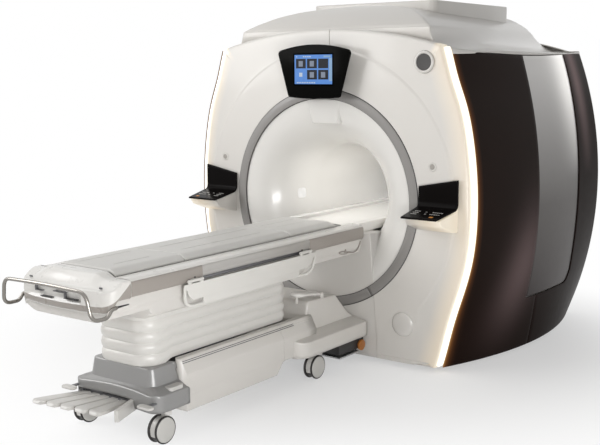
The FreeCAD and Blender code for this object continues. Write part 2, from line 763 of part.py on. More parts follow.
def crown_section(y, waist, crown, drop):
    """Half hollow, half round: the top cover's section at one place along the bore."""
    side, low = 1050.0, float(d.eave_middle) - 60
    rim = float(d.shelf_height) - drop
    turn = (float(waist) - drop * 0.8, float(d.waist_height) - drop * 0.6)
    hollow = (turn[0] + 85, rim + 32)
    crest = (float(crown), float(d.crown_height) - 30 - drop)
    swell = ((turn[0] + crest[0]) / 2 + 28, (turn[1] + crest[1]) / 2 + 12)
    roof = float(d.crown_height) - drop

    def at(sign, point):
        return (sign * point[0], y, point[1])

    edges = [
        line((-side, y, low), (side, y, low)),
        line((side, y, low), (side, y, rim - 8)),
        arc((side, y, rim - 8), at(1, hollow), at(1, turn)),
        arc(at(1, turn), at(1, swell), at(1, crest)),
        arc(at(1, crest), (0, y, roof), at(-1, crest)),
        arc(at(-1, crest), at(-1, swell), at(-1, turn)),
        arc(at(-1, turn), at(-1, hollow), (-side, y, rim - 8)),
        line((-side, y, rim - 8), (-side, y, low)),
    ]
    return Part.Wire(edges)


def crown_block(drop):
    """The top cover's volume: it narrows to the rear, with a nose in front and a tail."""
    y0, y1 = float(RIM + SEAM + drop), float(rear_edge - drop)
    sections = [
        crown_section(y0, d.waist_front, d.crown_front, drop),
        crown_section(y1, d.waist_rear, d.crown_rear, drop),
    ]
    body = Part.makeLoft(sections, True, True)
    roof = float(d.crown_height) - drop
    brow = float(d.brow_height) + 2 - drop
    nose_end, tail = float(behind(520)), float(behind(d.tail_start))
    tail_height = float(d.tail_height) - drop
    x = -1200
    nose = [
        line((x, y0, 1900), (x, y1, 1900)),
        line((x, y1, 1900), (x, y1, tail_height)),
        arc((x, y1, tail_height), (x, (tail + y1) / 2 + 20, roof - 62), (x, tail, roof + 5)),
        line((x, tail, roof + 5), (x, nose_end, roof + 5)),
        arc((x, nose_end, roof + 5), (x, float(behind(250)) + drop / 2, roof - 72), (x, y0, brow)),
        line((x, y0, brow), (x, y0, 1900)),
    ]
    nose_block = Part.Face(Part.Wire(nose)).extrude(vector(-2 * x, 0, 0))
    return body.common(nose_block).cut(under_eave(SEAM))


def plan_block(drop):
    """The swelling sides seen from above, which trim the top cover's eaves."""
    front, middle, rear = (
        (float(x) + 5 - drop, float(behind(y)))
        for x, y in (
            (d.shoulder_width + d.strip_width, d.cover_rim),
            (d.side_top_middle, d.side_middle),
            (d.side_top_rear, d.housing_depth - d.rear_rim),
        )
    )
    z = 1800.0
    edges = [
        arc((front[0], front[1], z), (middle[0], middle[1], z), (rear[0], rear[1], z)),
        line((rear[0], rear[1], z), (-rear[0], rear[1], z)),
        arc((-rear[0], rear[1], z), (-middle[0], middle[1], z), (-front[0], front[1], z)),
        line((-front[0], front[1], z), (front[0], front[1], z)),
    ]
    return Part.Face(Part.Wire(edges)).extrude(vector(0, 0, 900))


crown_outer = crown_block(0.0).common(plan_block(0.0))
crown_inner = crown_block(WALL).common(plan_block(WALL))
top_shell = crown_outer.cut(crown_inner)
hatch_width = float(d.turret_width) - 70
hatch = Part.makeBox(
    2 * hatch_width,
    float(d.turret_rear - d.turret_front) - 160,
    600,
    vector(-hatch_width, behind(d.turret_front + 80), 2100),
)
node(feature(top_shell.cut(hatch)), "top_cover")

turret_low = (-d.turret_width, behind(d.turret_front), d.turret_foot)
turret_high = (d.turret_width, behind(d.turret_rear), d.turret_height)
wall = d.cover_wall
turret_hollow = box(
    (turret_low[0] + wall, turret_low[1] + wall, turret_low[2] - 10),
    (turret_high[0] - wall, turret_high[1] - wall, turret_high[2] - wall),
)
turret_shell = cut(box(turret_low, turret_high), turret_hollow)
node(cut(turret_shell, feature(crown_outer, "crown_volume")), "turret_cover")

# ---------------------------------------------------------------- magnet


def tube_y(outer, inner, start, end):
    """A tube about the bore axis, built of two bound cylinders."""
    skin = rod("y", outer, end - start, (Size(0), start, AXIS))
    hole = rod("y", inner, end - start, (Size(0), start, AXIS))
    return cut(skin, hole)


vessel = tube_y(
    d.cryostat_radius, d.cryostat_bore, behind(d.cryostat_front), behind(d.cryostat_rear)
)
node(vessel, "cryostat")
coil_start = -d.gradient_length / 2
coil_radius = d.cryostat_bore - d.glide
tube_outer = d.bore_radius + d.bore_wall
coil = tube_y(coil_radius, tube_outer + d.glide, coil_start, -coil_start)
node(coil, "gradient_coil")
node(tube_y(tube_outer, d.bore_radius, funnel_end, rear_throat), "bore_tube")

rest_height = AXIS + d.cryostat_radius - 40
head_low = rod("z", d.cold_head_radius, 190, (Size(0), Size(0), rest_height))
head_flange = rod("z", d.cold_head_radius + 35, 25, (Size(0), Size(0), rest_height + 190))
head_top = rod("z", d.cold_head_radius - 55, 120, (Size(0), Size(0), rest_height + 215))
vessel_space = rod(
    "y", d.cryostat_radius + 0.3, 2 * d.iso_depth, (Size(0), -d.iso_depth, AXIS)
)
node(cut(fuse(head_low, head_flange, head_top), vessel_space), "cold_head")


def magnet_foot(side, row):
    """One foot: an anchored floor plate, and a leg shaped to the round vessel."""
    out = side * d.anchor_x
    mid = row * d.anchor_y
    x = [out - side * 200, out + side * 45]
    plate_x = (x[0], x[1]) if side > 0 else (x[1], x[0])
    leg = [out - side * 190, out - side * 50]
    leg_x = (leg[0], leg[1]) if side > 0 else (leg[1], leg[0])
    plate = box((plate_x[0], mid - 100, Size(0)), (plate_x[1], mid + 100, d.foot_plate))
    leg_box = box((leg_x[0], mid - 70, d.foot_plate), (leg_x[1], mid + 70, AXIS - 500))
    hole = rod("z", d.anchor_radius, d.foot_plate + 2, (out, mid, Size(-1)))
    return cut(fuse(plate, leg_box), hole, vessel_space)


feet = [magnet_foot(side, row) for side in (-1, 1) for row in (-1, 1)]
feet_group = doc.addObject("Part::Compound", "feet")
feet_group.Links = feet
node(feet_group, "magnet_feet")

# ---------------------------------------------------------------- bridge in the bore

bridge_front = FACE
bridge_rear = behind(d.bridge_end)
lip_inner = d.rail_inner + 1
bridge_deck = box(
    (-d.bridge_width, bridge_front, d.bay_top + SEAM), (d.bridge_width, bridge_rear, d.deck_height)
)
bridge_lips = [
    box((low, bridge_front, d.deck_height), (high, bridge_rear, d.rail_top))
    for low, high in ((lip_inner, d.bridge_width), (-d.bridge_width, -lip_inner))
]
bridge_keel = box(
    (-d.bridge_width, funnel_end + 5, d.keel_base), (d.bridge_width, bridge_rear, d.bay_top + SEAM)
)
bridge_hollow = box(
    (Size(-190), funnel_end + 4, d.keel_base), (Size(190), bridge_rear + 1, d.bay_top - 12)
)
bridge_raw = fuse(bridge_deck, *bridge_lips, cut(bridge_keel, bridge_hollow))
bore_space = rod(
    "y", d.bore_radius - d.glide, bridge_rear - bridge_front, (Size(0), bridge_front, AXIS)
)
node(common(bridge_raw, bore_space), "bore_bridge")

# ---------------------------------------------------------------- display and lights


def display_outline(inset, y):
    """The display seen from the front: a trapezoid with a bowed top and foot."""
    head, foot = float(d.display_top_width) - inset, float(d.display_foot_width) - inset
    low, high = float(d.display_foot) + inset, float(d.display_top) - inset
    bow = float(d.display_bow)
    edges = [
        arc((-foot, y, low), (0, y, low - bow / 4), (foot, y, low)),
        line((foot, y, low), (head, y, high)),
        arc((head, y, high), (0, y, high + bow), (-head, y, high)),
        line((-head, y, high), (-foot, y, low)),
    ]
    return Part.Wire(edges)


def display_shape():
    """The display's dark housing: a front plate, a back that tapers, and a neck behind it."""
    y, back = float(ahead(d.display_front)), float(ahead(d.display_back))
    plate_end = y + 14
    front = Part.Face(display_outline(0.0, y)).extrude(vector(0, 14, 0))
    corners = [e for e in front.Edges if abs(e.BoundBox.YLength) > 10]
    front = front.makeFillet(22, corners)
    taper = Part.makeLoft([display_outline(22.0, plate_end), display_outline(70.0, back)], True, True)
    block_low = AXIS + d.ring_outer + 20
    block = Part.makeBox(
        300,
        float(d.display_back + d.cover_face),
        float(d.display_top) - 20 - float(block_low),
        vector(-150, back, block_low),
    )
    return front.fuse([taper, block]).removeSplitter()


node(feature(display_shape()), "display_housing")
screen = box(
    (-d.screen_width / 2, ahead(d.display_front + 2), d.screen_foot),
    (d.screen_width / 2, ahead(d.display_front), d.screen_foot + d.screen_height),
)
node(screen, "display_screen")

lamp_profile = [
    (behind(-4), AXIS + d.ring_inner),
    (behind(22), AXIS + 514),
    (behind(140), AXIS + 500),
    (behind(140), AXIS + d.ring_inner),
]
lamp = prism_x(lamp_profile, -138, 138)
lamp = lamp.common(prism_y([(-104, 1500), (104, 1500), (140, 1760), (-140, 1760)], -1100, -700))
lamp = lamp.common(bore_cylinder(d.ring_inner - 0.3, behind(-50), behind(200)))
lamp_pieces = lamp.cut(front_funnel).Solids
node(feature(min(lamp_pieces, key=lambda piece: piece.CenterOfMass.z)), "laser_housing")

# ---------------------------------------------------------------- consoles


def console(side):
    """One operator console: a bent black tray on a white bracket."""
    back = FACE
    rest = back - 12
    knee, lip_z, top = d.console_knee, d.console_lip, d.console_top
    tip = ahead(d.console_reach)
    wall = d.tray_wall
    bend = rest - wall
    tray = [
        (rest, top),
        (bend, top),
        (bend - 4, knee),
        (tip, lip_z),
        (tip, lip_z - wall),
        (bend - 4, knee - wall),
        (rest, knee - wall),
    ]
    bracket = [
        (back, top - 64),
        (rest, top - 64),
        (rest, knee - wall),
        (bend - 4, knee - wall),
        (tip + 22, lip_z - wall + (knee - lip_z) * 22 / (bend - 4 - tip)),
        (tip + 60, lip_z - 62),
        (back - 60, 930),
        (back, 925),
    ]
    low, high = float(d.console_inner), float(d.console_inner + d.console_width)
    plan = [(low, back + 5), (high, back + 5), (high - 4, bend), (high - 30, tip), (low + 8, tip)]
    slope = [(low, 800), (high, 800), (high, top), (low, top - d.console_slope)]
    trim = prism_z(plan, 800, 1300).common(prism_y(slope, -1600, -900))
    tray_shape = prism_x(tray, low, high).common(trim)
    bracket_shape = prism_x(bracket, low + 14, high - 14).common(trim)
    if side < 0:
        flip = (FreeCAD.Vector(0, 0, 0), FreeCAD.Vector(1, 0, 0))
        tray_shape, bracket_shape = tray_shape.mirror(*flip), bracket_shape.mirror(*flip)
    return tray_shape, bracket_shape


for side, word in ((-1, "left"), (1, "right")):
    tray_shape, bracket_shape = console(side)
    node(feature(tray_shape), f"console_{word}_tray")
    node(feature(bracket_shape), f"console_{word}_bracket")

# ---------------------------------------------------------------- dock socket

socket_low = (-d.socket_width, ahead(d.socket_reach), d.floor_gap + 2)
socket_high = (d.socket_width, behind(d.bay_depth - 20), d.bay_mouth_height - 32)
notch = box(
    (-d.hook_width - d.glide, ahead(d.socket_reach + 1), d.hook_base - d.glide),
    (d.hook_width + d.glide, ahead(d.hook_tip - d.glide), d.hook_top + d.glide),
)
socket_body = cut(box(socket_low, socket_high), notch)
shoulder = box(
    (-d.bay_mouth_width, behind(d.cover_face), d.floor_gap + 2),
    (d.bay_mouth_width, behind(d.cover_face + d.cover_wall), d.floor_gap + 60),
)
node(fuse(socket_body, shoulder), "dock_socket")

# ---------------------------------------------------------------- chassis


def plate(width, foot, head):
    """A chassis plate across the middle, between two places along the table."""
    return box(
        (-width, ahead(foot), d.plate_base), (width, ahead(head), d.plate_base + d.plate_thick)
    )


cap_inner = d.cap_width - d.cap_wall
skirt_inner = d.skirt_width - d.cap_wall
shroud_inner = d.shroud_width - d.shroud_wall
plates = [
    plate(Size(150), d.cap_foot - 45, Size(90)),
    plate(cap_inner, d.caster_foot + 42, d.caster_foot - 42),
    plate(skirt_inner, d.caster_head + 50, d.caster_head - 50),
    plate(shroud_inner, d.shroud_foot - 30, d.shroud_foot - 70),
    plate(shroud_inner, d.shroud_head + 70, d.shroud_head + 30),
]
column_low = d.plate_base + d.plate_thick


def column(half_x, half_y, wall, low, high):
    """A rectangular column tube about the lift's place."""
    y = ahead(d.column_place)
    outer = box((-half_x, y - half_y, low), (half_x, y + half_y, high))
    inner = box(
        (wall - half_x, y - half_y + wall, low - 1), (half_x - wall, y + half_y - wall, high + 1)
    )
    return cut(outer, inner)


outer_column = column(d.column_x, d.column_y, d.column_wall, column_low, d.column_top)
hook_neck = box((-d.hook_width, ahead(200), d.hook_base), (d.hook_width, ahead(90), d.plate_base))
hook_bar = box(
    (-d.hook_width, ahead(200), d.hook_base), (d.hook_width, ahead(d.hook_tip), d.hook_top)
)
pedal_left = -d.pedal_offset - 2 * d.pedal_pitch - d.pedal_neck / 2
pedal_right = -d.pedal_offset + 2 * d.pedal_pitch + d.pedal_neck / 2
pedal_rod = rod(
    "x",
    d.pedal_shaft_radius,
    pedal_right - pedal_left + 26,
    (pedal_left - 13, ahead(d.pedal_shaft), d.pedal_height),
)
ears = [
    box(
        (x, ahead(d.pedal_shaft + 12), d.plate_base + 3),
        (x + 8, ahead(d.brake_shaft - 14), d.brake_height + 14),
    )
    for x in (pedal_left - 17, pedal_right + 9)
]
guard_wall = prism_z(
    [
        (pedal_right + 26, ahead(d.pedal_shaft - 24)),
        (pedal_right + 106, ahead(d.pedal_tip - 122)),
        (pedal_right + 118, ahead(d.pedal_tip - 128)),
        (pedal_right + 42, ahead(d.pedal_shaft - 24)),
    ],
    float(d.plate_base) - 18,
    float(d.plate_base) + 36,
)
stem_holes = [
    rod(
        "z",
        d.stem_radius + d.pivot_gap,
        d.plate_thick + 20,
        (side * d.caster_x, ahead(place_y), d.plate_base - 10),
    )
    for side in (-1, 1)
    for place_y in (d.caster_foot, d.caster_head)
]
brake_hole = rod(
    "x",
    d.brake_radius + d.pivot_gap,
    2 * d.brake_x + 40,
    (-d.brake_x - 20, ahead(d.brake_shaft), d.brake_height),
)
pedal_slot = box(
    (pedal_left - 1, ahead(d.cap_foot), d.plate_base - 1),
    (pedal_right + 1, ahead(d.pedal_shaft - 14), d.plate_base + d.plate_thick + 1),
)
chassis_plates = cut(fuse(*plates), *stem_holes, pedal_slot)
wall_piece = feature(guard_wall, "pedal_wall")
chassis_raw = fuse(chassis_plates, outer_column, hook_neck, hook_bar, pedal_rod, *ears, wall_piece)
node(cut(chassis_raw, brake_hole), "base_chassis")

# ---------------------------------------------------------------- base covers


def open_box(low, high, wall, open_faces):
    """A box with a wall all round, left open on the named faces."""
    inner_low = [low[i] + (0 if "-xyz"[i + 1] + "-" in open_faces else wall) for i in range(3)]
    inner_high = [high[i] - (0 if "-xyz"[i + 1] + "+" in open_faces else wall) for i in range(3)]
    return box(low, high), box(tuple(inner_low), tuple(inner_high))


def shroud_section(inset, low):
    """Section of the base shroud: upright sides that lean in towards a flat top."""
    wide, crown = float(d.shroud_width) - inset, float(d.shroud_crown) - inset
    belt, top = float(d.shroud_belt), float(d.base_top) - inset
    return [(-wide, low), (wide, low), (wide, belt), (crown, top), (-crown, top), (-wide, belt)]


shroud_outer = prism_y(shroud_section(0.0, d.shroud_base), ahead(d.shroud_foot), ahead(d.shroud_head))
shroud_hollow = prism_y(
    shroud_section(float(d.shroud_wall), d.shroud_base - 5),
    ahead(d.shroud_foot + 5),
    ahead(d.shroud_head - 5),
)
shroud_shell = feature(shroud_outer.cut(shroud_hollow), "shroud_shell")
column_way = box(
    (-d.column_x - 12, ahead(d.column_place + d.column_y + 12), d.base_top - 20),
    (d.column_x + 12, ahead(d.column_place - d.column_y - 12), d.base_top + 5),
)
node(cut(shroud_shell, column_way), "base_shroud")

cap_head = d.shroud_foot + SEAM
low_block, low_hollow = open_box(
    (-d.cap_width, ahead(d.cap_foot), d.cap_base),
    (d.cap_width, ahead(cap_head), d.cap_step),
    d.cap_wall,
    ("y+", "z-"),
)


def cap_block(inset):
    """The foot cap's upper block, which leans in towards its top."""
    low, high = float(d.cap_step) - 20 - inset, float(d.base_top) - inset
    near = float(ahead(cap_head)) + (1 if inset else 0)
    rings = []
    for half, foot, z in (
        (d.cap_block_width, d.cap_block_foot, low),
        (d.cap_block_crown, d.cap_block_foot - d.cap_block_lean, high),
    ):
        wide, far = float(half) - inset, float(ahead(foot)) + inset
        corners = [(-wide, far, z), (wide, far, z), (wide, near, z), (-wide, near, z)]
        rings.append(Part.makePolygon([vector(*c) for c in corners + corners[:1]]))
    block = Part.makeLoft(rings, True, True)
    corners = [
        edge
        for edge in block.Edges
        if edge.BoundBox.ZLength > 60 and edge.BoundBox.YMax < float(ahead(cap_head)) - 100
    ]
    return block.makeFillet(50 - inset, corners)


def upright(edge):
    return edge.BoundBox.ZLength > 60 and edge.BoundBox.XLength < 1 and edge.BoundBox.YLength < 1


def at_foot(limit):
    return lambda edge: upright(edge) and edge.BoundBox.YMax < float(limit)


cap_low = rounded(low_block, 60, at_foot(ahead(d.cap_foot - 20)))
cap_low_in = rounded(low_hollow, 52, at_foot(ahead(d.cap_foot - 20)))
cap_high = feature(cap_block(0.0), "cap_block")
cap_high_in = feature(cap_block(float(d.cap_wall)), "cap_block_hollow")
pedal_mouth = box(
    (pedal_left - 36, ahead(d.cap_foot + 10), d.cap_base - 1),
    (pedal_right + 72, ahead(d.cap_foot - 60), d.plate_base + 38),
)
paddle_mouths = [
    box(
        (side * d.brake_x - 18, ahead(d.cap_foot + 10), d.brake_height - 46),
        (side * d.brake_x + 18, ahead(d.cap_foot - 60), d.brake_height + 16),
    )
    for side in (-1, 1)
]
cap_shell = cut(fuse(cap_low, cap_high), fuse(cap_low_in, cap_high_in), pedal_mouth, *paddle_mouths)
node(cap_shell, "foot_cap")


def dock_cover_shape(inset):
    """The dock cover's volume: a low neck, a wide skirt and a tower that narrows upwards."""
    near = float(ahead(d.dock_gap))
    low = float(d.skirt_base) - (5 if inset else 0)
    neck_start = ahead(d.shroud_head - SEAM)
    neck = prism_y(shroud_section(inset, low), neck_start, ahead(d.tower_foot) + 20)
    skirt_y = float(ahead(d.skirt_foot)) + inset
    wide = float(d.skirt_width) - inset
    cove = 75 - inset
    skirt = Part.makeBox(
        2 * wide, near - skirt_y, float(d.skirt_top) - inset - low, vector(-wide, skirt_y, low)
    )
    corners = [
        e for e in skirt.Edges if e.BoundBox.ZLength > 50 and e.BoundBox.YMax < skirt_y + 1
    ]
    skirt = skirt.makeFillet(cove, corners)
    foot, crown = float(d.tower_width) - inset, float(d.tower_crown) - inset
    base_z, top_z = float(d.skirt_top) - 60, float(d.tower_height) - inset
    tower_y = float(ahead(d.tower_foot)) + inset
    flank = prism_y([(-foot, base_z), (foot, base_z), (crown, top_z), (-crown, top_z)], tower_y, near)
    profile = [
        (tower_y, base_z),
        (tower_y, float(d.base_top) - inset),
        (tower_y + 90, top_z),
        (near - 130, top_z),
        (near, top_z - 120),
        (near, base_z),
    ]
    tower = flank.common(prism_x(profile, -400, 400))
    return neck.fuse([skirt, tower]).removeSplitter()


dock_shell = dock_cover_shape(0.0).cut(dock_cover_shape(float(d.cap_wall)))
opened = dock_cover_shape(float(d.cap_wall)).common(
    Part.makeBox(900, 40, 800, vector(-450, ahead(d.dock_gap + 40), 0))
)
opened.translate(vector(0, 30, 0))
lever_y, lever_z, lever_x = (
    float(size) for size in (ahead(d.lever_pin_place), d.lever_height, d.lever_x)
)
hub_half = 20.0
ears_base = float(d.tower_height) - 4
dock_solid = dock_shell.cut(opened)
for start in (lever_x - hub_half - 12.5, lever_x + hub_half + 0.5):
    ear = Part.makeBox(12, 32, lever_z - ears_base, vector(start, lever_y - 16, ears_base))
    boss = Part.makeCylinder(16, 12, vector(start, lever_y, lever_z), FreeCAD.Vector(1, 0, 0))
    dock_solid = dock_solid.fuse([ear, boss])
lever_hole = Part.makeCylinder(
    float(d.lever_pin + d.pivot_gap),
    100,
    vector(lever_x - 50, lever_y, lever_z),
    FreeCAD.Vector(1, 0, 0),
)
node(feature(dock_solid.removeSplitter().cut(lever_hole)), "dock_cover")

# ---------------------------------------------------------------- bellows and columns


def stadium(half_width, foot, head, low, high):
    """An upright block whose foot and head ends are rounded, as seen from above."""
    block = Part.makeBox(
        2 * half_width, foot - head, high - low, vector(-half_width, ahead(foot), low)
    )
    posts = [e for e in block.Edges if e.BoundBox.ZLength > 1 and e.BoundBox.XLength < 1]
    posts = [e for e in posts if e.BoundBox.YLength < 1]
    return block.makeFillet(half_width * 0.55, posts)


bellows_wall = float(d.bellows_wall)
skin = stadium(
    float(d.bellows_width), float(d.bellows_foot), float(d.bellows_head), d.base_top, d.belly_base
)
hollow = stadium(
    float(d.bellows_width) - bellows_wall,
    float(d.bellows_foot) - bellows_wall,
    float(d.bellows_head) + bellows_wall,
    float(d.base_top) - 1,
    float(d.belly_base) + 1,
)
node(feature(skin.cut(hollow)), "bellows")

mid_x = d.column_x - d.column_wall - d.glide
mid_y = d.column_y - d.column_wall - d.glide
node(column(mid_x, mid_y, d.column_wall, d.column_mid_base, d.column_mid_top), "column_mid")

inner_x = mid_x - d.column_wall - d.glide
inner_y = mid_y - d.column_wall - d.glide
beam_base = d.belly_head_base + d.shell_wall + 2
deck_base = d.deck_height - d.ledge_depth - 18
inner_column = column(inner_x, inner_y, Size(8), d.column_inner_base, beam_base)
beam_skin = box(
    (Size(-150), ahead(d.casting_head - 20), beam_base),
    (Size(150), ahead(d.table_head + 40), deck_base),
)
beam_hollow = box(
    (Size(-142), ahead(d.casting_head - 20) - 1, beam_base + 8),
    (Size(142), ahead(d.table_head + 40) + 1, deck_base - 8),
)
deck_plate = box(
    (-d.rail_inner, ahead(d.casting_head - 10), deck_base),
    (d.rail_inner, ahead(d.table_head + 10), d.deck_height - d.ledge_depth),
)
node(fuse(cut(beam_skin, beam_hollow), inner_column, deck_plate), "table_frame")

# ---------------------------------------------------------------- table top


def belly_section(inset, base):
    """Half-open section of the belly shell, wide at the rails and narrow below."""
    top = float(d.rail_base) + (2 if inset else 0)
    side = float(d.rail_outer - d.belly_inset) - inset
    bend = float(d.belly_bend)
    knee = (float(d.belly_width) - inset, max(float(d.belly_knee), float(base) + 24))
    floor = (float(d.belly_width) - 60 - inset / 2, float(base) + inset)
    return [
        (-side, top), (-side, bend), (-knee[0], knee[1]), (-floor[0], floor[1]),
        (floor[0], floor[1]), (knee[0], knee[1]), (side, bend), (side, top),
    ]


def belly(inset, foot, head, base):
    return prism_y(belly_section(inset, base), ahead(foot), ahead(head))


shell_wall = float(d.shell_wall)
runs = [
    (d.belly_foot, d.belly_foot_step, d.belly_foot_base),
    (d.belly_foot_step, d.belly_step, d.belly_base),
    (d.belly_step, d.table_head + 6, d.belly_head_base),
]
shell, inside = None, None
for foot, head, base in runs:
    outer = belly(0.0, foot, head, base)
    deep = base is d.belly_base
    reach = (-shell_wall if deep else 0.0, shell_wall if deep else 0.0)
    from_foot = float(foot) + (reach[0] if deep or foot is d.belly_foot else 20.0)
    from_foot -= shell_wall if foot is d.belly_foot else 0.0
    to_head = float(head) + (reach[1] if deep else shell_wall if head is not runs[0][1] else -20.0)
    inner = belly(shell_wall, from_foot, to_head, base)
    shell = outer if shell is None else shell.fuse(outer)
    inside = inner if inside is None else inside.fuse(inner)
shell = shell.cut(inside).removeSplitter()
casting_y = ahead(d.casting_head) - SEAM
above_foot = Part.makeBox(900, 400, 300, vector(-450, casting_y + SEAM - 400, d.casting_base))
nose_y = float(ahead(d.table_foot - d.nose_depth))
nose_space = float(d.nose_width) + 1
above_nose = Part.makeBox(2 * nose_space, 200, 300, vector(-nose_space, nose_y - 199, d.nose_base))
column_hole = Part.makeBox(
    2 * float(d.column_x) + 20,
    2 * float(d.column_y) + 20,
    80,
    vector(-d.column_x - 10, ahead(d.column_place + d.column_y + 10), float(d.belly_base) - 20),
)
slot_half = float(d.handle_radius + d.glide)
slot_x = float(d.rail_outer) + 10
slots = [
    Part.makeBox(
        60,
        float(d.handle_travel) + 2 * slot_half + 10,
        2 * slot_half,
        vector(x, ahead(d.handle_end) - slot_half - 5, float(d.handle_slot) - slot_half),
    )
    for x in (slot_x - 60, -slot_x)
]
shell = shell.cut(above_foot).cut(above_nose).cut(column_hole).cut(slots[0]).cut(slots[1])
node(feature(shell), "table_shell")


def rail(side):
    """One side rail: a closed box section with a ledge, and two hinge knuckles."""
    low_y, high_y = ahead(d.casting_head), ahead(d.table_head)

    def across(a, b):
        return (a, b) if side > 0 else (-b, -a)

    x = across(d.rail_inner, d.rail_outer)
    skin = box((x[0], low_y, d.rail_base), (x[1], high_y, d.rail_top))
    skin = rounded(
        skin,
        16,
        lambda edge: edge.BoundBox.YLength > 500
        and edge.BoundBox.ZMin > float(d.rail_top) - 1
        and abs(abs(edge.BoundBox.Center.x) - float(d.rail_outer)) < 1,
    )
    hollow_x = across(d.rail_inner + d.rail_wall, d.rail_outer - d.rail_wall - 10)
    core = box(
        (hollow_x[0], low_y - 1, d.rail_base + d.rail_wall),
        (hollow_x[1], high_y - d.rail_wall, d.rail_top - d.rail_wall),
    )
    ledge_x = across(d.rail_inner - d.ledge, d.rail_inner + 4)
    shelf = box(
        (ledge_x[0], low_y, d.deck_height - d.ledge_depth), (ledge_x[1], high_y, d.deck_height)
    )
    knuckles, holes = [], []
    foot_x = across(d.rail_outer - 4, d.guard_axis_x)
    for place_y in (d.hinge_head, d.hinge_foot):
        start = ahead(place_y + d.knuckle / 2)
        at = (side * d.guard_axis_x, start, d.guard_axis_z)
        knuckles.append(rod("y", Size(9), d.knuckle, at))
        foot = box(
            (foot_x[0], start, d.guard_axis_z - 6), (foot_x[1], start + d.knuckle, d.guard_axis_z + 6)
        )
        knuckles.append(foot)
        holes.append(rod("y", d.guard_pin + d.pivot_gap, d.knuckle + 2, (at[0], start - 1, at[2])))
    return cut(fuse(skin, shelf, *knuckles), core, *holes)


rails = doc.addObject("Part::Compound", "rails")
rails.Links = [rail(-1), rail(1)]
node(rails, "side_rails")


def casting_shape(inset):
    """The foot-end casting: a bowed nose that rises to a hump before the cushions."""
    foot_y = float(ahead(d.table_foot)) + inset
    near_y = float(casting_y)
    bow = foot_y + float(d.casting_bow)
    wide = float(d.rail_outer) - inset
    low = float(d.casting_base) - (5 if inset else 0)
    nose_low = float(d.nose_base) - (5 if inset else 0)
    plan_edges = [
        arc((-wide, bow, nose_low), (0, foot_y, nose_low), (wide, bow, nose_low)),
        line((wide, bow, nose_low), (wide, near_y, nose_low)),
        line((wide, near_y, nose_low), (-wide, near_y, nose_low)),
        line((-wide, near_y, nose_low), (-wide, bow, nose_low)),
    ]
    block = Part.Face(Part.Wire(plan_edges)).extrude(vector(0, 0, 260))
    corners = [
        edge
        for edge in block.Edges
        if edge.BoundBox.ZLength > 100 and edge.BoundBox.YMax < near_y - 10
    ]
    block = block.makeFillet(float(d.casting_corner) - inset, corners)
    hump = float(d.hump_height) - inset
    lip_z = float(d.rail_top) - 40 - inset
    rise = prism_x(
        [
            (foot_y - 60, nose_low), (foot_y - 60, lip_z), (foot_y + 8, lip_z),
            (foot_y + 92, hump - 6), (foot_y + 115, hump), (near_y + 5, hump),
            (near_y + 5, low), (nose_y - inset, low), (nose_y - inset, nose_low),
        ],
        -400,
        400,
    )
    shoulder = float(d.rail_top) - inset
    flank = prism_y(
        [
            (-wide, nose_low), (wide, nose_low), (wide, shoulder - 12), (wide - 14, shoulder),
            (235, shoulder), (175, hump), (-175, hump), (-235, shoulder),
            (14 - wide, shoulder), (-wide, shoulder - 12),
        ],
        foot_y - 60,
        near_y + 5,
    )
    nose_half = float(d.nose_width) - inset
    keep = Part.makeBox(900, 500, 400, vector(-450, foot_y - 100, low))
    nose = Part.makeBox(
        2 * nose_half, 500, 400, vector(-nose_half, foot_y - 100, nose_low - 100)
    )
    return block.common(rise).common(flank).common(keep.fuse(nose))


port_low = float(d.nose_base) + 38
port = Part.makeBox(430, 62, 66, vector(-215, ahead(d.table_foot) - 2, port_low))
cradle_way = Part.makeBox(
    2 * float(d.cradle_width) + 8, 80, 200, vector(-d.cradle_width - 4, casting_y - 6, d.deck_height - 1)
)
port_block = Part.makeBox(450, 72, 92, vector(-225, ahead(d.table_foot), d.nose_base))
casting = casting_shape(0.0).cut(casting_shape(6.0)).fuse(casting_shape(0.0).common(port_block))
casting = casting.cut(port).cut(cradle_way).removeSplitter()
node(feature(casting), "foot_end_casting")

cradle_base = d.deck_height + d.glide
cradle_foot = ahead(d.casting_head + 8)
cradle_low = (-d.cradle_width, cradle_foot + 12, cradle_base)
cradle_high = (d.cradle_width, ahead(d.cradle_head), cradle_base + d.cradle_thick)
node(box(cradle_low, cradle_high), "cradle")

pad_base = cradle_base + d.cradle_thick


def cushion(foot, head):
    """One cushion: flat below, bevelled at its sides."""
    top = float(pad_base + d.pad_thick)
    wide, crown = float(d.cradle_width), float(d.pad_crown)
    section = [
        (-wide, pad_base), (wide, pad_base), (wide, float(pad_base) + 8),
        (crown, top), (-crown, top), (-wide, float(pad_base) + 8),
    ]
    return prism_y(section, ahead(foot) + 1, ahead(head) - 1)


ends = [d.pad_foot, d.pad_seam_foot, d.pad_seam_head, d.pad_head]
cushions = Part.makeCompound([cushion(ends[n], ends[n + 1]) for n in range(3)])
node(feature(cushions), "cradle_pads")

# ---------------------------------------------------------------- side guards


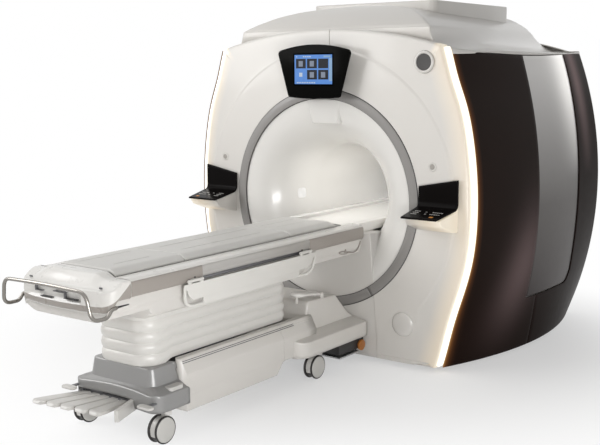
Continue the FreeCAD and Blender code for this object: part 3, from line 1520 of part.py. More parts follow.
def guard_shape():
    """The right side guard, folded down: a panel with two loops and hinge barrels."""
    axis_x, axis_z = float(d.guard_axis_x), float(d.guard_axis_z)
    half = float(d.guard_thick) / 2
    foot, head = float(ahead(d.guard_foot)), float(ahead(d.guard_head))
    low, top = float(d.guard_base), float(d.guard_top)
    corners = [
        (foot, top), (foot + 8, low + 26), (foot + 40, low), (head - 150, low),
        (head - 52, low + 34), (head, top),
    ]
    panel = prism_x(corners, axis_x - half, axis_x + half)
    for start, end, height in ((foot + 56, foot + 150, low + 20), (head - 176, head - 92, low + 28)):
        corners = [(start, height), (end, height), (end, height + 20), (start, height + 20)]
        panel = panel.cut(prism_x(corners, axis_x - 20, axis_x + 20))
    knuckle = float(d.knuckle)
    for place_y in (float(d.hinge_head), float(d.hinge_foot)):
        middle = float(ahead(place_y))
        gap = Part.makeBox(40, knuckle + 4, 40, vector(axis_x - 20, middle - knuckle / 2 - 2, top - 10))
        panel = panel.cut(gap)
        for start in (middle - knuckle / 2 - 42, middle + knuckle / 2 + 2):
            web = Part.makeBox(8, 40, axis_z - top + 4, vector(axis_x - 4, start, top - 4))
            barrel = Part.makeCylinder(8, 40, vector(axis_x, start, axis_z), FreeCAD.Vector(0, 1, 0))
            panel = panel.fuse([web, barrel])
        pin = Part.makeCylinder(
            float(d.guard_pin), knuckle + 44, vector(axis_x, middle - knuckle / 2 - 22, axis_z),
            FreeCAD.Vector(0, 1, 0),
        )
        panel = panel.fuse(pin)
    return panel.removeSplitter()


guard = guard_shape()
node(feature(guard), "side_guard_right")
guard_left = guard.mirror(FreeCAD.Vector(0, 0, 0), FreeCAD.Vector(1, 0, 0))
node(feature(guard_left), "side_guard_left")

# ---------------------------------------------------------------- push handle


def bent_tube(points, radius, bends):
    """A round tube along straight runs joined by arcs that touch both runs."""
    edges = []
    start = vector(*points[0])
    for here, after, bend in zip(points[1:-1], points[2:], bends):
        corner, following = vector(*here), vector(*after)
        back = (start - corner).normalize()
        on = (following - corner).normalize()
        half_turn = (math.pi - back.getAngle(on)) / 2
        reach = bend * math.tan(half_turn)
        first, last = corner + back * reach, corner + on * reach
        inward = (back + on).normalize()
        middle = corner + inward * (bend / math.cos(half_turn) - bend)
        edges.append(Part.makeLine(start, first))
        edges.append(Part.Arc(first, middle, last).toShape())
        start = last
    edges.append(Part.makeLine(start, vector(*points[-1])))
    path = Part.Wire(edges)
    heading = edges[0].tangentAt(edges[0].FirstParameter)
    circle = Part.Wire([Part.makeCircle(radius, vector(*points[0]), heading)])
    return path.makePipeShell([circle], True, True)


leg_x, leg_z, slot_z = float(d.handle_x), float(d.handle_leg), float(d.handle_slot)
end_y, foot_y = float(ahead(d.handle_end)), float(ahead(d.handle_foot))
half_path = [
    (leg_x - 38, end_y, slot_z),
    (leg_x, end_y, slot_z),
    (leg_x, end_y - 38, slot_z),
    (leg_x, end_y - 64, leg_z),
    (leg_x, foot_y, leg_z),
    (leg_x, foot_y, float(d.handle_top)),
]
other_half = [(-x, y, z) for x, y, z in reversed(half_path)]
corner = float(d.handle_bend)
bends = [22.0, 22.0, 22.0, corner, corner, corner, corner, 22.0, 22.0, 22.0]
handle_tube = bent_tube(half_path + other_half, float(d.handle_radius), bends)
node(feature(handle_tube), "push_handle")

# ---------------------------------------------------------------- release lever

reach = float(d.lever_reach)
lever_profile = [
    (lever_y + 4, lever_z - 8), (lever_y + 4, lever_z + 10), (lever_y - 60, lever_z + 34),
    (lever_y - reach, lever_z + 52), (lever_y - reach, lever_z + 32), (lever_y - 60, lever_z + 12),
]
grip = float(d.lever_width) / 2
lever_plan = [
    (lever_x - hub_half, lever_y - 24), (lever_x - hub_half, lever_y + 10),
    (lever_x + hub_half, lever_y + 10), (lever_x + hub_half, lever_y - 24),
    (lever_x + grip, lever_y - reach + 50), (lever_x + grip - 22, lever_y - reach),
    (lever_x - grip + 22, lever_y - reach), (lever_x - grip, lever_y - reach + 50),
]
blade = prism_x(lever_profile, lever_x - grip, lever_x + grip)
blade = blade.common(prism_z(lever_plan, lever_z - 50, lever_z + 90))
along = FreeCAD.Vector(1, 0, 0)
hub = Part.makeCylinder(14, 2 * hub_half, vector(lever_x - hub_half, lever_y, lever_z), along)
pin_half = hub_half + 12
pin = Part.makeCylinder(
    float(d.lever_pin), 2 * pin_half, vector(lever_x - pin_half, lever_y, lever_z), along
)
trigger = Part.makeBox(18, 14, 50, vector(lever_x + 4, lever_y - reach + 8, lever_z - 14))
node(feature(blade.fuse([hub, pin, trigger]).removeSplitter()), "release_lever")

# ---------------------------------------------------------------- casters


def caster(side, swivel):
    """One twin-wheel caster: a hooded fork with its stem, and the wheels on their axle."""
    x, y = side * d.caster_x, ahead(swivel)
    wheel_y = y - d.caster_trail
    half = d.hood_width / 2
    stem = rod("z", d.stem_radius, d.plate_base + d.plate_thick + 10 - 155, (x, y, Size(155)))
    collar = rod("z", Size(26), d.plate_base - d.glide - 164, (x, y, Size(164)))
    hood = rod("x", d.hood_radius, d.hood_width, (x - half, wheel_y, d.wheel_radius))
    neck = box((x - half, wheel_y - 20, 2 * d.wheel_radius - 30), (x + half, y + 14, Size(168)))
    cheek = box((x - 22, y - 24, 2 * d.wheel_radius + 3), (x + 22, y + 18, Size(168)))
    hole_length = d.hood_width + 4
    hole = rod(
        "x", d.axle_radius + d.pivot_gap, hole_length, (x - half - 2, wheel_y, d.wheel_radius)
    )
    fork = cut(fuse(stem, collar, hood, neck, cheek), hole)
    gap = half + d.glide
    discs = []
    for start in (x + gap, x - gap - d.wheel_width):
        disc = rod("x", d.wheel_radius, d.wheel_width, (start, wheel_y, d.wheel_radius))
        discs.append(rounded(disc, 5, lambda edge: edge.BoundBox.ZLength > 100))
    length = 2 * (gap + d.wheel_width) - 4
    axle = rod("x", d.axle_radius, length, (x - length / 2, wheel_y, d.wheel_radius))
    return fork, fuse(*discs, axle)


for side, word in ((-1, "left"), (1, "right")):
    for swivel, end in ((d.caster_foot, "foot"), (d.caster_head, "head")):
        fork, wheels = caster(side, swivel)
        node(fork, f"caster_{end}_{word}")
        node(wheels, f"wheels_{end}_{word}")

# ---------------------------------------------------------------- pedals


def pedal(index):
    """One foot pedal: a hub on the shaft and a plate that widens to its tip."""
    root_x = float(d.pedal_pitch * index - d.pedal_offset)
    tip_x = float(d.pedal_fan * index - d.pedal_offset - d.pedal_lean)
    reach = d.pedal_tip - d.pedal_stagger * (index + 2)
    shaft_y, tip_y = float(ahead(d.pedal_shaft)), float(ahead(reach))
    height = float(d.pedal_height)
    neck, wide = float(d.pedal_neck) / 2, float(d.pedal_width) / 2
    thick = float(d.pedal_thick)
    slope = -0.06
    plan = [
        (root_x - neck, shaft_y), (root_x + neck, shaft_y),
        (tip_x + wide, tip_y + 24), (tip_x + wide - 14, tip_y),
        (tip_x - wide + 14, tip_y), (tip_x - wide, tip_y + 24),
    ]
    drop = (shaft_y - tip_y) * slope
    profile = [
        (shaft_y + 2, height + thick / 2), (shaft_y + 2, height - thick / 2),
        (tip_y - 2, height - drop - thick / 2), (tip_y - 2, height - drop + thick / 2),
    ]
    blade = prism_z(plan, height - 60, height + 60).common(prism_x(profile, -500, 500))
    hub = Part.makeCylinder(9, 2 * neck, vector(root_x - neck, shaft_y, height), FreeCAD.Vector(1, 0, 0))
    hole = Part.makeCylinder(
        float(d.pedal_shaft_radius + d.pivot_gap),
        2 * neck + 40,
        vector(root_x - neck - 20, shaft_y, height),
        FreeCAD.Vector(1, 0, 0),
    )
    return blade.fuse(hub).cut(hole).removeSplitter()


for index, word in zip(range(-2, 3), ("one", "two", "three", "four", "five")):
    node(feature(pedal(index)), f"pedal_{word}")


def brake_bar_shape():
    """The brake bar: a cross shaft with a paddle at each end."""
    y, z = float(ahead(d.brake_shaft)), float(d.brake_height)
    tip = float(ahead(d.brake_tip))
    reach = float(d.brake_x) + 14
    bar = Part.makeCylinder(float(d.brake_radius), 2 * reach, vector(-reach, y, z), FreeCAD.Vector(1, 0, 0))
    for side in (-1, 1):
        x = side * float(d.brake_x)
        arm = Part.makeBox(24, y - tip - 20, 9, vector(x - 12, tip + 20, z - 14))
        boss = Part.makeBox(24, 20, 20, vector(x - 12, y - 10, z - 14))
        half = float(d.brake_width) / 2
        paddle = Part.makeBox(2 * half, 46, 12, vector(x - half, tip, z - 16))
        paddle = paddle.makeFillet(20, [e for e in paddle.Edges if e.BoundBox.ZLength > 5])
        bar = bar.fuse([arm, boss, paddle])
    return bar.removeSplitter()


node(feature(brake_bar_shape()), "brake_bar")

# ---------------------------------------------------------------- check and export

doc.recompute()
broken = [thing.Label for thing in doc.Objects if {"Invalid", "Error"} & set(thing.State)]
if broken:
    raise SystemExit(f"failed objects: {broken}")
for label, thing in nodes.items():
    if thing.Shape.isNull() or not thing.Shape.isValid() or not thing.Shape.Solids:
        raise SystemExit(f"{label} has no valid solid")
for label, thing in nodes.items():
    thing.Shape.exportStep(f"parts/{label}.step")
print(len(nodes), "sub-parts")
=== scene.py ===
import math

import bpy
import numpy as np
from mathutils import Matrix, Vector


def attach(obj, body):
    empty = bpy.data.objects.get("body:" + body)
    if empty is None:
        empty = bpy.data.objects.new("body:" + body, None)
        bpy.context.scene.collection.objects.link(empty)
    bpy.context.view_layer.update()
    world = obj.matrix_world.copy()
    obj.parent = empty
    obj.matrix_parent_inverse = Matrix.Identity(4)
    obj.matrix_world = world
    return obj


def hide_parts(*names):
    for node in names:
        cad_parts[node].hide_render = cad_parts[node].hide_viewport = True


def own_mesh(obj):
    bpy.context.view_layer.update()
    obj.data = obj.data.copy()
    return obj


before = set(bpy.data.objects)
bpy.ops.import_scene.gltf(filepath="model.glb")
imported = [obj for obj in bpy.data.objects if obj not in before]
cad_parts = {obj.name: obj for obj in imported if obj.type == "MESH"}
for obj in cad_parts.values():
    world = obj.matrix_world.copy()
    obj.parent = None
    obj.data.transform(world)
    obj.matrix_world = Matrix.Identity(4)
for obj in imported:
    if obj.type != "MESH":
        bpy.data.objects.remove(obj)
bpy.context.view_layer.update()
scene = bpy.context.scene

# ------------------------------------------------------------------ camera
# The view of a person standing at the table's right side near its foot end, with a
# normal lens held level at about eye height.

yaw, pitch, roll = (math.radians(turn) for turn in (36.6388, 8.7379, -0.4247))
look = Vector((-math.sin(yaw) * math.cos(pitch), math.cos(yaw) * math.cos(pitch), -math.sin(pitch)))
level = Vector((math.cos(yaw), math.sin(yaw), 0))
upright = level.cross(look)
camera_x = level * math.cos(roll) + upright * math.sin(roll)
camera_y = upright * math.cos(roll) - level * math.sin(roll)
camera = bpy.data.objects.new("camera", bpy.data.cameras.new("camera"))
camera.data.sensor_width = 36
camera.data.lens = 36 * 1004.756 / 600
camera.data.clip_end = 60
turned = Matrix((camera_x, camera_y, -look)).transposed().to_4x4()
camera.matrix_world = Matrix.Translation((3.8859, -6.5176, 1.9404)) @ turned
scene.collection.objects.link(camera)
scene.camera = camera

# ------------------------------------------------------------------ room and lamps
# A pale studio: a floor that fades to white away from the object, a soft sky that is
# brighter at the left, and large soft boxes overhead, in front and beside the table.

scene.view_settings.view_transform = "Standard"


def node(tree, kind, inputs=(), **settings):
    """A shader node with its settings; each input takes a value or another node's output."""
    made = tree.nodes.new(f"ShaderNode{kind}")
    for name, value in settings.items():
        setattr(made, name, value)
    for name, value in dict(inputs).items():
        if isinstance(value, bpy.types.NodeSocket):
            tree.links.new(value, made.inputs[name])
        else:
            made.inputs[name].default_value = value
    return made


def reckon(tree, operation, a, b):
    """The result of one sum on two values or outputs."""
    return node(tree, "Math", {0: a, 1: b}, operation=operation).outputs[0]


def blank(name):
    """A material without nodes, and its node tree."""
    material = bpy.data.materials.new(name)
    material.use_nodes = True
    material.node_tree.nodes.clear()
    return material, material.node_tree


def shows_to_camera(tree):
    """1 for rays from the camera, or seen in gloss or through glass; else 0."""
    path = node(tree, "LightPath").outputs
    seen = reckon(tree, "MAXIMUM", path["Is Camera Ray"], path["Is Glossy Ray"])
    return reckon(tree, "MAXIMUM", seen, path["Is Transmission Ray"])


floor_white, tree = blank("floor_white")
matt = node(tree, "BsdfDiffuse", {"Color": (0.93, 0.93, 0.93, 1)})
away = node(tree, "VectorMath", {0: node(tree, "TexCoord").outputs["Object"]}, operation="LENGTH")
fade = node(tree, "MapRange", {"Value": away.outputs["Value"], "From Min": 1.3, "From Max": 2.9,
                               "To Min": 0.45}, interpolation_type="SMOOTHSTEP")
share = reckon(tree, "MULTIPLY", fade.outputs["Result"], shows_to_camera(tree))
mix = node(tree, "MixShader", {"Fac": share, 1: matt.outputs[0], 2: node(tree, "Emission").outputs[0]})
node(tree, "OutputMaterial", {"Surface": mix.outputs[0]})
floor_mesh = bpy.data.meshes.new("floor")
floor_mesh.from_pydata([(-30, -30, 0), (30, -30, 0), (30, 30, 0), (-30, 30, 0)], [], [(0, 1, 2, 3)])
floor = bpy.data.objects.new("floor", floor_mesh)
floor.location = (0, -0.7, -0.002)
scene.collection.objects.link(floor)
floor_mesh.materials.append(floor_white)

world = bpy.data.worlds.new("sky")
scene.world = world
world.use_nodes = True
tree = world.node_tree
tree.nodes.clear()
parts = node(tree, "SeparateXYZ", {"Vector": node(tree, "TexCoord").outputs["Generated"]})
across = node(tree, "MapRange", {"Value": parts.outputs["X"], "From Min": -0.8, "From Max": 0.8,
                                 "To Min": 0.5, "To Max": 0.2})
soft = node(tree, "Background", {"Color": (1, 0.985, 0.965, 1), "Strength": across.outputs["Result"]})
plain = node(tree, "Background", {"Color": (1, 1, 1, 1)})
mix = node(tree, "MixShader", {"Fac": shows_to_camera(tree), 1: soft.outputs[0], 2: plain.outputs[0]})
node(tree, "OutputWorld", {"Surface": mix.outputs[0]})

LAMPS = [
    # name, place, aim, width, height, watts
    ("overhead", (-1.5, -3.0, 4.3), (0, -1.8, 0.8), 3.4, 3.4, 54),
    ("front_left", (-3.3, -5.1, 2.9), (0, -1.0, 1.0), 2.4, 2.4, 100),
    ("front_right", (4.2, -6.6, 2.4), (0.4, -1.4, 0.9), 2.4, 2.4, 30),
    ("table_fill", (3.4, -4.2, 0.9), (0.2, -2.0, 0.5), 2.0, 1.0, 72),
    ("rear", (0.8, 5.2, 3.0), (0, 0.8, 1.2), 3.0, 2.2, 16),
    ("in_bore", (0, -0.42, 1.39), (0, -0.42, 1.0), 0.22, 1.3, 3.6),
]
for name, at, aim, width, height, watts in LAMPS:
    lamp = bpy.data.lights.new(name, "AREA")
    lamp.shape = "RECTANGLE"
    lamp.size, lamp.size_y = width, height
    lamp.energy = watts
    holder = bpy.data.objects.new(name, lamp)
    holder.location = at
    holder.rotation_mode = "QUATERNION"
    holder.rotation_quaternion = (Vector(aim) - Vector(at)).to_track_quat("-Z", "Y")
    holder.visible_camera = holder.visible_glossy = name != "in_bore"
    scene.collection.objects.link(holder)

# ------------------------------------------------------------------ magnet, feet and bore
# The steel vessel of the magnet with its feet, the gradient coil in its warm bore and the
# cold head on top. They stay as modelled, and the covers hide nearly all of them.

FRONT = -1.030
AXIS = 1.070
SIDES = ((1, "right"), (-1, "left"))
slot_of = {}


def moulded_skin():
    """Node group: broad drift of tone, fine grain and small smudges of a moulded skin."""
    group = bpy.data.node_groups.new("moulded_skin", "ShaderNodeTree")
    for name, kind, default in (
        ("Color", "Color", (0.8, 0.8, 0.8, 1)), ("Drift", "Float", 0.03), ("Grain Size", "Float", 900),
        ("Grain Depth", "Float", 0.02), ("Roughness", "Float", 0.35), ("Smudge", "Float", 0.06),
    ):
        socket = group.interface.new_socket(name, in_out="INPUT", socket_type=f"NodeSocket{kind}")
        socket.default_value = default
    for name, kind in (("Color", "Color"), ("Roughness", "Float"), ("Normal", "Vector")):
        group.interface.new_socket(name, in_out="OUTPUT", socket_type=f"NodeSocket{kind}")
    source = group.nodes.new("NodeGroupInput").outputs
    result = group.nodes.new("NodeGroupOutput")
    place = node(group, "TexCoord").outputs["Object"]
    broad, smudge, grain = (
        node(group, "TexNoise", {"Vector": place, "Scale": scale, "Detail": detail}).outputs["Fac"]
        for scale, detail in ((2.3, 3), (17, 5), (source["Grain Size"], 2))
    )
    drift = reckon(group, "MULTIPLY", reckon(group, "SUBTRACT", broad, 0.5), source["Drift"])
    shade = node(group, "VectorMath", {0: source["Color"], "Scale": reckon(group, "ADD", drift, 1)},
                 operation="SCALE")
    rougher = reckon(group, "MULTIPLY", reckon(group, "SUBTRACT", smudge, 0.5), source["Smudge"])
    rougher = reckon(group, "ADD", rougher, source["Roughness"])
    bump = node(group, "Bump", {"Distance": 0.0004, "Strength": source["Grain Depth"], "Height": grain})
    group.links.new(shade.outputs["Vector"], result.inputs["Color"])
    group.links.new(rougher, result.inputs["Roughness"])
    group.links.new(bump.outputs["Normal"], result.inputs["Normal"])
    return group


SKIN = moulded_skin()


def finish(name, slot, color, roughness, metallic=0, coat=0, drift=0.03, grain=(900, 0.02), smudge=0.06,
           gloss=0.5):
    """A material of one finish: the skin group's colour, roughness and grain on a Principled shader.
    Its slot is kept in slot_of under its name."""
    material, tree = blank(name)
    skin = node(tree, "Group", {"Color": (*color, 1), "Drift": drift, "Grain Size": grain[0],
                                "Grain Depth": grain[1], "Roughness": roughness, "Smudge": smudge},
                node_tree=SKIN).outputs
    shader = node(tree, "BsdfPrincipled", {
        "Base Color": skin["Color"], "Roughness": skin["Roughness"], "Normal": skin["Normal"],
        "Metallic": metallic, "Specular IOR Level": gloss, "Coat Weight": coat, "Coat Roughness": 0.08})
    node(tree, "OutputMaterial", {"Surface": shader.outputs[0]})
    slot_of[material.name] = slot
    return material


def paint(finishes):
    """Gives nodes of the frame their finishes."""
    for name, material in finishes:
        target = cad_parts[name]
        target.data.materials.clear()
        target.data.materials.append(material)


vessel_steel = finish("vessel_steel", "steel", (0.4, 0.41, 0.42), 0.38, metallic=0.85, drift=0.12,
                      smudge=0.25)
coil_resin = finish("coil_resin", "coil", (0.30, 0.15, 0.07), 0.45, drift=0.2, grain=(300, 0.15))
frame_grey = finish("frame_grey", "frame_metal", (0.11, 0.11, 0.115), 0.5, drift=0.15, grain=(700, 0.12),
                    smudge=0.2)
socket_black = finish("socket_black", "cover_dark", (0.018, 0.017, 0.017), 0.42, drift=0.25, grain=(600, 0.1))
paint((("cryostat", vessel_steel), ("cold_head", vessel_steel), ("magnet_feet", frame_grey),
       ("gradient_coil", coil_resin), ("dock_socket", socket_black)))

# ------------------------------------------------------------------ patient bore
# The bore tube, the front and rear funnels and the bridge that carries the cradle: white
# glass-fibre mouldings with a satin gel coat.

bore_gloss = finish("bore_gloss", "bore_white", (0.68, 0.665, 0.635), 0.22, coat=0.35, drift=0.02, smudge=0.05)
FACE = FRONT + 0.008
THROAT = FACE + 0.392
REAR = FRONT + 2.080


def quads(rows, columns, start=0, around=False):
    """Corner indices of the faces of a grid; around joins its last column to its first."""
    r, c = np.meshgrid(np.arange(rows - 1), np.arange(columns if around else columns - 1), indexing="ij")
    right = (c + 1) % columns
    corners = [r * columns + c, r * columns + right, (r + 1) * columns + right, (r + 1) * columns + c]
    return start + np.stack([k.ravel() for k in corners], axis=1)


def solid(name, points, faces, material, body="magnet", nodes=None, kinds=None, slot=None, smoothed=True):
    """One object from points and faces that rides a body. A name that ends in _skin stands for the
    CAD node of that name, unless nodes are given. Several materials take kinds, one for each face."""
    mesh = bpy.data.meshes.new(name)
    mesh.from_pydata(np.asarray(points, float).tolist(), [], [list(map(int, face)) for face in faces])
    materials = material if isinstance(material, list) else [material]
    for one in materials:
        mesh.materials.append(one)
    if kinds is not None:
        mesh.polygons.foreach_set("material_index", np.asarray(kinds, np.int32))
    mesh.polygons.foreach_set("use_smooth", np.full(len(mesh.polygons), smoothed))
    mesh.validate()
    made = bpy.data.objects.new(name, mesh)
    scene.collection.objects.link(made)
    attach(made, body)
    slot or slot_of[materials[0].name]
    same = name.removesuffix("_skin")
    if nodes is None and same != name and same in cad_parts:
        nodes = [same]
    if nodes:
        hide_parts(*nodes)
    return made


def piece(name, grids, material, body="magnet", around=True, flip=False, **rest):
    """One object from a grid of points, or a list of grids; around closes each one's columns.
    Of several materials each grid takes the one with its own number."""
    grids = grids if isinstance(grids, list) else [grids]
    faces, kinds, start = [], [], 0
    for number, grid in enumerate(grids):
        found = quads(*grid.shape[:2], start, around)
        faces.append(found[:, ::-1] if flip else found)
        kinds.append(np.full(len(found), number))
        start += grid.shape[0] * grid.shape[1]
    kinds = np.concatenate(kinds) if isinstance(material, list) else None
    points = np.concatenate([grid.reshape(-1, 3) for grid in grids])
    return solid(name, points, np.concatenate(faces), material, body, kinds=kinds, **rest)


def eased(made, edge, turn=35, segments=3):
    """Rounds the edges of a piece that are sharper than a turn."""
    if edge:
        bevel = made.modifiers.new("edges", "BEVEL")
        bevel.width = edge
        bevel.segments = segments
        bevel.limit_method = "ANGLE"
        bevel.angle_limit = math.radians(turn)
        bevel.harden_normals = False
    return made


def walled(made, wall, edge=0, turn=35):
    """Gives a surface its wall, inwards from its face, and rounds the sharp edges."""
    thick = made.modifiers.new("wall", "SOLIDIFY")
    thick.thickness = wall
    thick.offset = -1
    return eased(made, edge, turn)


def block(name, outline, low, high, axis, material, body="magnet", far=None, edge=0.003, turn=35, segments=3,
          **rest):
    """An outline in the plane across an axis (x, y or z), carried from low to high along it.
    The far outline may differ: then the block tapers. Its sharp edges are rounded."""
    near = np.asarray(outline, float)
    far = near if far is None else np.asarray(far, float)
    x, y = near.T
    if (x * np.roll(y, -1) - y * np.roll(x, -1)).sum() < 0:
        near, far = near[::-1], far[::-1]
    count, along = len(near), "xyz".index(axis)
    points = np.empty((2 * count, 3))
    points[:, [k for k in range(3) if k != along]] = np.concatenate([near, far])
    points[:, along] = np.repeat(sorted((low, high)), count)
    here = np.arange(count)
    after = (here + 1) % count
    faces = np.stack([here, after, after + count, here + count], axis=1).tolist()
    faces += [here[::-1].tolist(), (here + count).tolist()]
    if axis == "y":
        faces = [face[::-1] for face in faces]
    return eased(solid(name, points, faces, material, body, **rest), edge, turn, segments)


def circle_through(a, b, c):
    """Centre and radius of the circle through three points, where two bisectors meet."""
    (ax, ay), (bx, by), (cx, cy) = a, b, c
    k = 2 * (ax * (by - cy) + bx * (cy - ay) + cx * (ay - by))
    x = ((ax**2 + ay**2) * (by - cy) + (bx**2 + by**2) * (cy - ay) + (cx**2 + cy**2) * (ay - by)) / k
    y = ((ax**2 + ay**2) * (cx - bx) + (bx**2 + by**2) * (ax - cx) + (cx**2 + cy**2) * (bx - ax)) / k
    return x, y, math.hypot(ax - x, ay - y)


def arc(a, b, c, count):
    """Points on the circle through a, b and c, from a to c, at equal turns."""
    x, y, r = circle_through(a, b, c)
    turns = [math.atan2(py - y, px - x) for px, py in (a, b, c)]
    full = (turns[2] - turns[0]) % (2 * math.pi)
    if (turns[1] - turns[0]) % (2 * math.pi) > full:
        full -= 2 * math.pi
    t = turns[0] + np.linspace(0, 1, count) * full
    return np.stack([x + r * np.cos(t), y + r * np.sin(t)], axis=1)


def outward(line):
    """Unit normals of an (x, z) line, to the right of its run, smoothed over neighbours."""
    run = np.gradient(line, axis=0)
    normal = np.stack([run[:, 1], -run[:, 0]], axis=1)
    return normal / np.linalg.norm(normal, axis=1, keepdims=True)


def grid_of(x, y, z):
    """A grid of points from three arrays that spread to one shape."""
    return np.stack(np.broadcast_arrays(x, y, z), axis=-1)


def turned_about_bore(profile, steps=192, first=0, last=2 * math.pi, whole=True):
    """A profile of (radius, y) turned about the bore's axis: point (r cos t, y, axis + r sin t)."""
    t = np.linspace(first, last, steps, endpoint=not whole)[:, None]
    r, y = np.asarray(profile, float).T
    return grid_of(r * np.cos(t), y, AXIS + r * np.sin(t))


def swap(grid):
    """The same grid with rows and columns exchanged, which turns its faces over."""
    return np.swapaxes(grid, 0, 1)


def trumpet(mouth_y, throat_y, mouth, throat):
    """Quarter ellipse from the mouth's rim, which faces out, to the throat's wall."""
    t = np.linspace(0, math.pi / 2, 30)
    return np.stack([mouth - (mouth - throat) * np.sin(t), throat_y - (throat_y - mouth_y) * np.cos(t)], axis=1)


lip = [(0.6985, FACE + 0.001), (0.69, FACE)]
tube_line = [(0.35, y) for y in np.linspace(THROAT + 0.05, REAR - 0.2806, 24)]
profile = np.concatenate([lip, trumpet(FACE, THROAT, 0.671, 0.35), tube_line])
made = piece("bore_and_funnel_skin", swap(turned_about_bore(profile)), bore_gloss,
             nodes=["bore_funnel", "bore_tube"])
walled(made, 0.007)
bridge = [(-0.292, 0.861), (0.292, 0.861), (0.292, 0.922), (0.226, 0.922), (0.226, 0.898),
          (-0.226, 0.898), (-0.226, 0.922), (-0.292, 0.922)]
block("bridge_deck", bridge, FACE, FRONT + 1.9, "y", bore_gloss, nodes=["bore_bridge"], edge=0.004)
keel = [(-0.292, 0.861), (-0.292, 0.8775), (0.292, 0.8775), (0.292, 0.861)]
keel += [(0.3495 * math.sin(t), AXIS - 0.3495 * math.cos(t)) for t in np.linspace(0.92, -0.92, 33)]
block("bridge_keel", keel, THROAT + 0.005, FRONT + 1.899, "y", bore_gloss, edge=0)

# ------------------------------------------------------------------ rear cover
# One large moulding with a shallow rim and its own trumpet round the bore's rear end.

gel_coat = {"coat": 0.25, "grain": (420, 0.05)}
cover_cream = finish("cover_cream", "cover_white", (0.6, 0.578, 0.545), 0.34, drift=0.035, **gel_coat)


def housing_outline(foot, belt, top, low, high, brow):
    """The housing from the front, from the middle of the floor line up the right side to the
    middle of the brow: a line, the side's arc and half of the brow's arc."""
    floor_line = np.stack([np.linspace(0, foot, 24), np.full(24, low)], axis=1)
    side = arc((foot, low), (belt, 1.130), (top, high), 90)
    over = arc((top, high), (0, brow), (-top, high), 121)[:61]
    return np.concatenate([floor_line[:-1], side[:-1], over])


half = housing_outline(0.905, 1.128, 0.925, 0.030, 2.036, 2.185)
whole = np.concatenate([half, (half * (-1, 1))[::-1][1:-1]])
bearing = np.arctan2(whole[:, 1] - AXIS, whole[:, 0])
edge = 0.020
inset = outward(np.concatenate([whole[-3:], whole, whole[:3]]))[3:-3] * edge
mouth_ring = np.stack([0.54 * np.cos(bearing), AXIS + 0.54 * np.sin(bearing)], axis=1)
columns = [mouth_ring + (whole - inset - mouth_ring) * t for t in np.linspace(0, 1, 12)]
rounding = np.linspace(0, math.pi / 2, 7)[1:]
columns += [whole - inset * (1 - math.sin(t)) for t in rounding] + [whole]
depths = np.array([0] * 12 + [-edge * (1 - math.cos(t)) for t in rounding] + [-0.05])
flat = np.stack(columns)
made = piece("rear_cover_skin", [grid_of(flat[..., 0], REAR + depths[:, None], flat[..., 1]),
                                 swap(turned_about_bore(trumpet(REAR, REAR - 0.28, 0.54, 0.35)))[::-1]],
             [cover_cream, bore_gloss])
walled(made, 0.008, 0.002)

# ------------------------------------------------------------------ dock bay panel
# The flat panel below the bore: it stands back between the front covers and is cut out at
# the floor, where the table docks.

bay_white = finish("bay_white", "cover_white", (0.57, 0.55, 0.52), 0.34, **{**gel_coat, "coat": 0.2})
BAY = ((0.436, 0.030), (0.372, 0.860))
notched = [(-0.434, 0.03), (-0.262, 0.03), (-0.262, 0.2), (0.262, 0.2), (0.262, 0.03), (0.434, 0.03),
           (0.37, 0.86), (-0.37, 0.86)]
block("dock_bay_panel_skin", notched, FACE, FACE + 0.01, "y", bay_white)
for side, word in SIDES:
    cheek = [(side * x, z) for x, z in ((0.4345, 0.03), (0.3705, 0.86), (0.3605, 0.85), (0.4245, 0.03))]
    block(f"dock_bay_cheek_{word}", cheek, FACE + 0.009, FRONT + 0.17, "y", bay_white, edge=0)
lid = [(-0.3705, 0.85), (0.3705, 0.85), (0.3705, 0.86), (-0.3705, 0.86)]
block("dock_bay_lid", lid, FACE + 0.009, FRONT + 0.17, "y", bay_white, edge=0)

# ------------------------------------------------------------------ front covers
# Two large gel-coated glass-fibre covers close the magnet's front. They meet at a seam
# right of the middle, have a raised disc round the bore and a rounded outer edge.

COVER_SEAM = 0.050
RIM = FRONT + 0.089
half_outline = housing_outline(0.872, 1.085, 0.88, 0.03, 2.075, 2.192)
# Distance from the cover's edge and the painted glow there, right and left: emission that stands in for the
# light strip's light on the cover.
PAINTED_GLOW_REACH = {1: ([0, 0.004, 0.012, 0.14], [0.6, 0.5, 0.32, 0]),
              -1: ([0.032, 0.04, 0.052, 0.11], [1, 0.6, 0.25, 0])}


def bell(value, middle, width):
    """A bell curve: 1 in the middle, 0.37 one width away."""
    return np.exp(-(((value - middle) / width) ** 2))


def smooth(t):
    """0 below 0, 1 above 1 and 3t² - 2t³ between."""
    t = np.clip(t, 0, 1)
    return t * t * (3 - 2 * t)


def draw_in(z):
    """How far the front edge stands inside its arc: two soft hollows, above floor and below eave."""
    return 0.042 * bell(z, 0.34, 0.31) + 0.018 * bell(z, 1.88, 0.16)


half_outline[:, 0] -= np.where(half_outline[:, 0] > 0.8, draw_in(half_outline[:, 1]), 0)


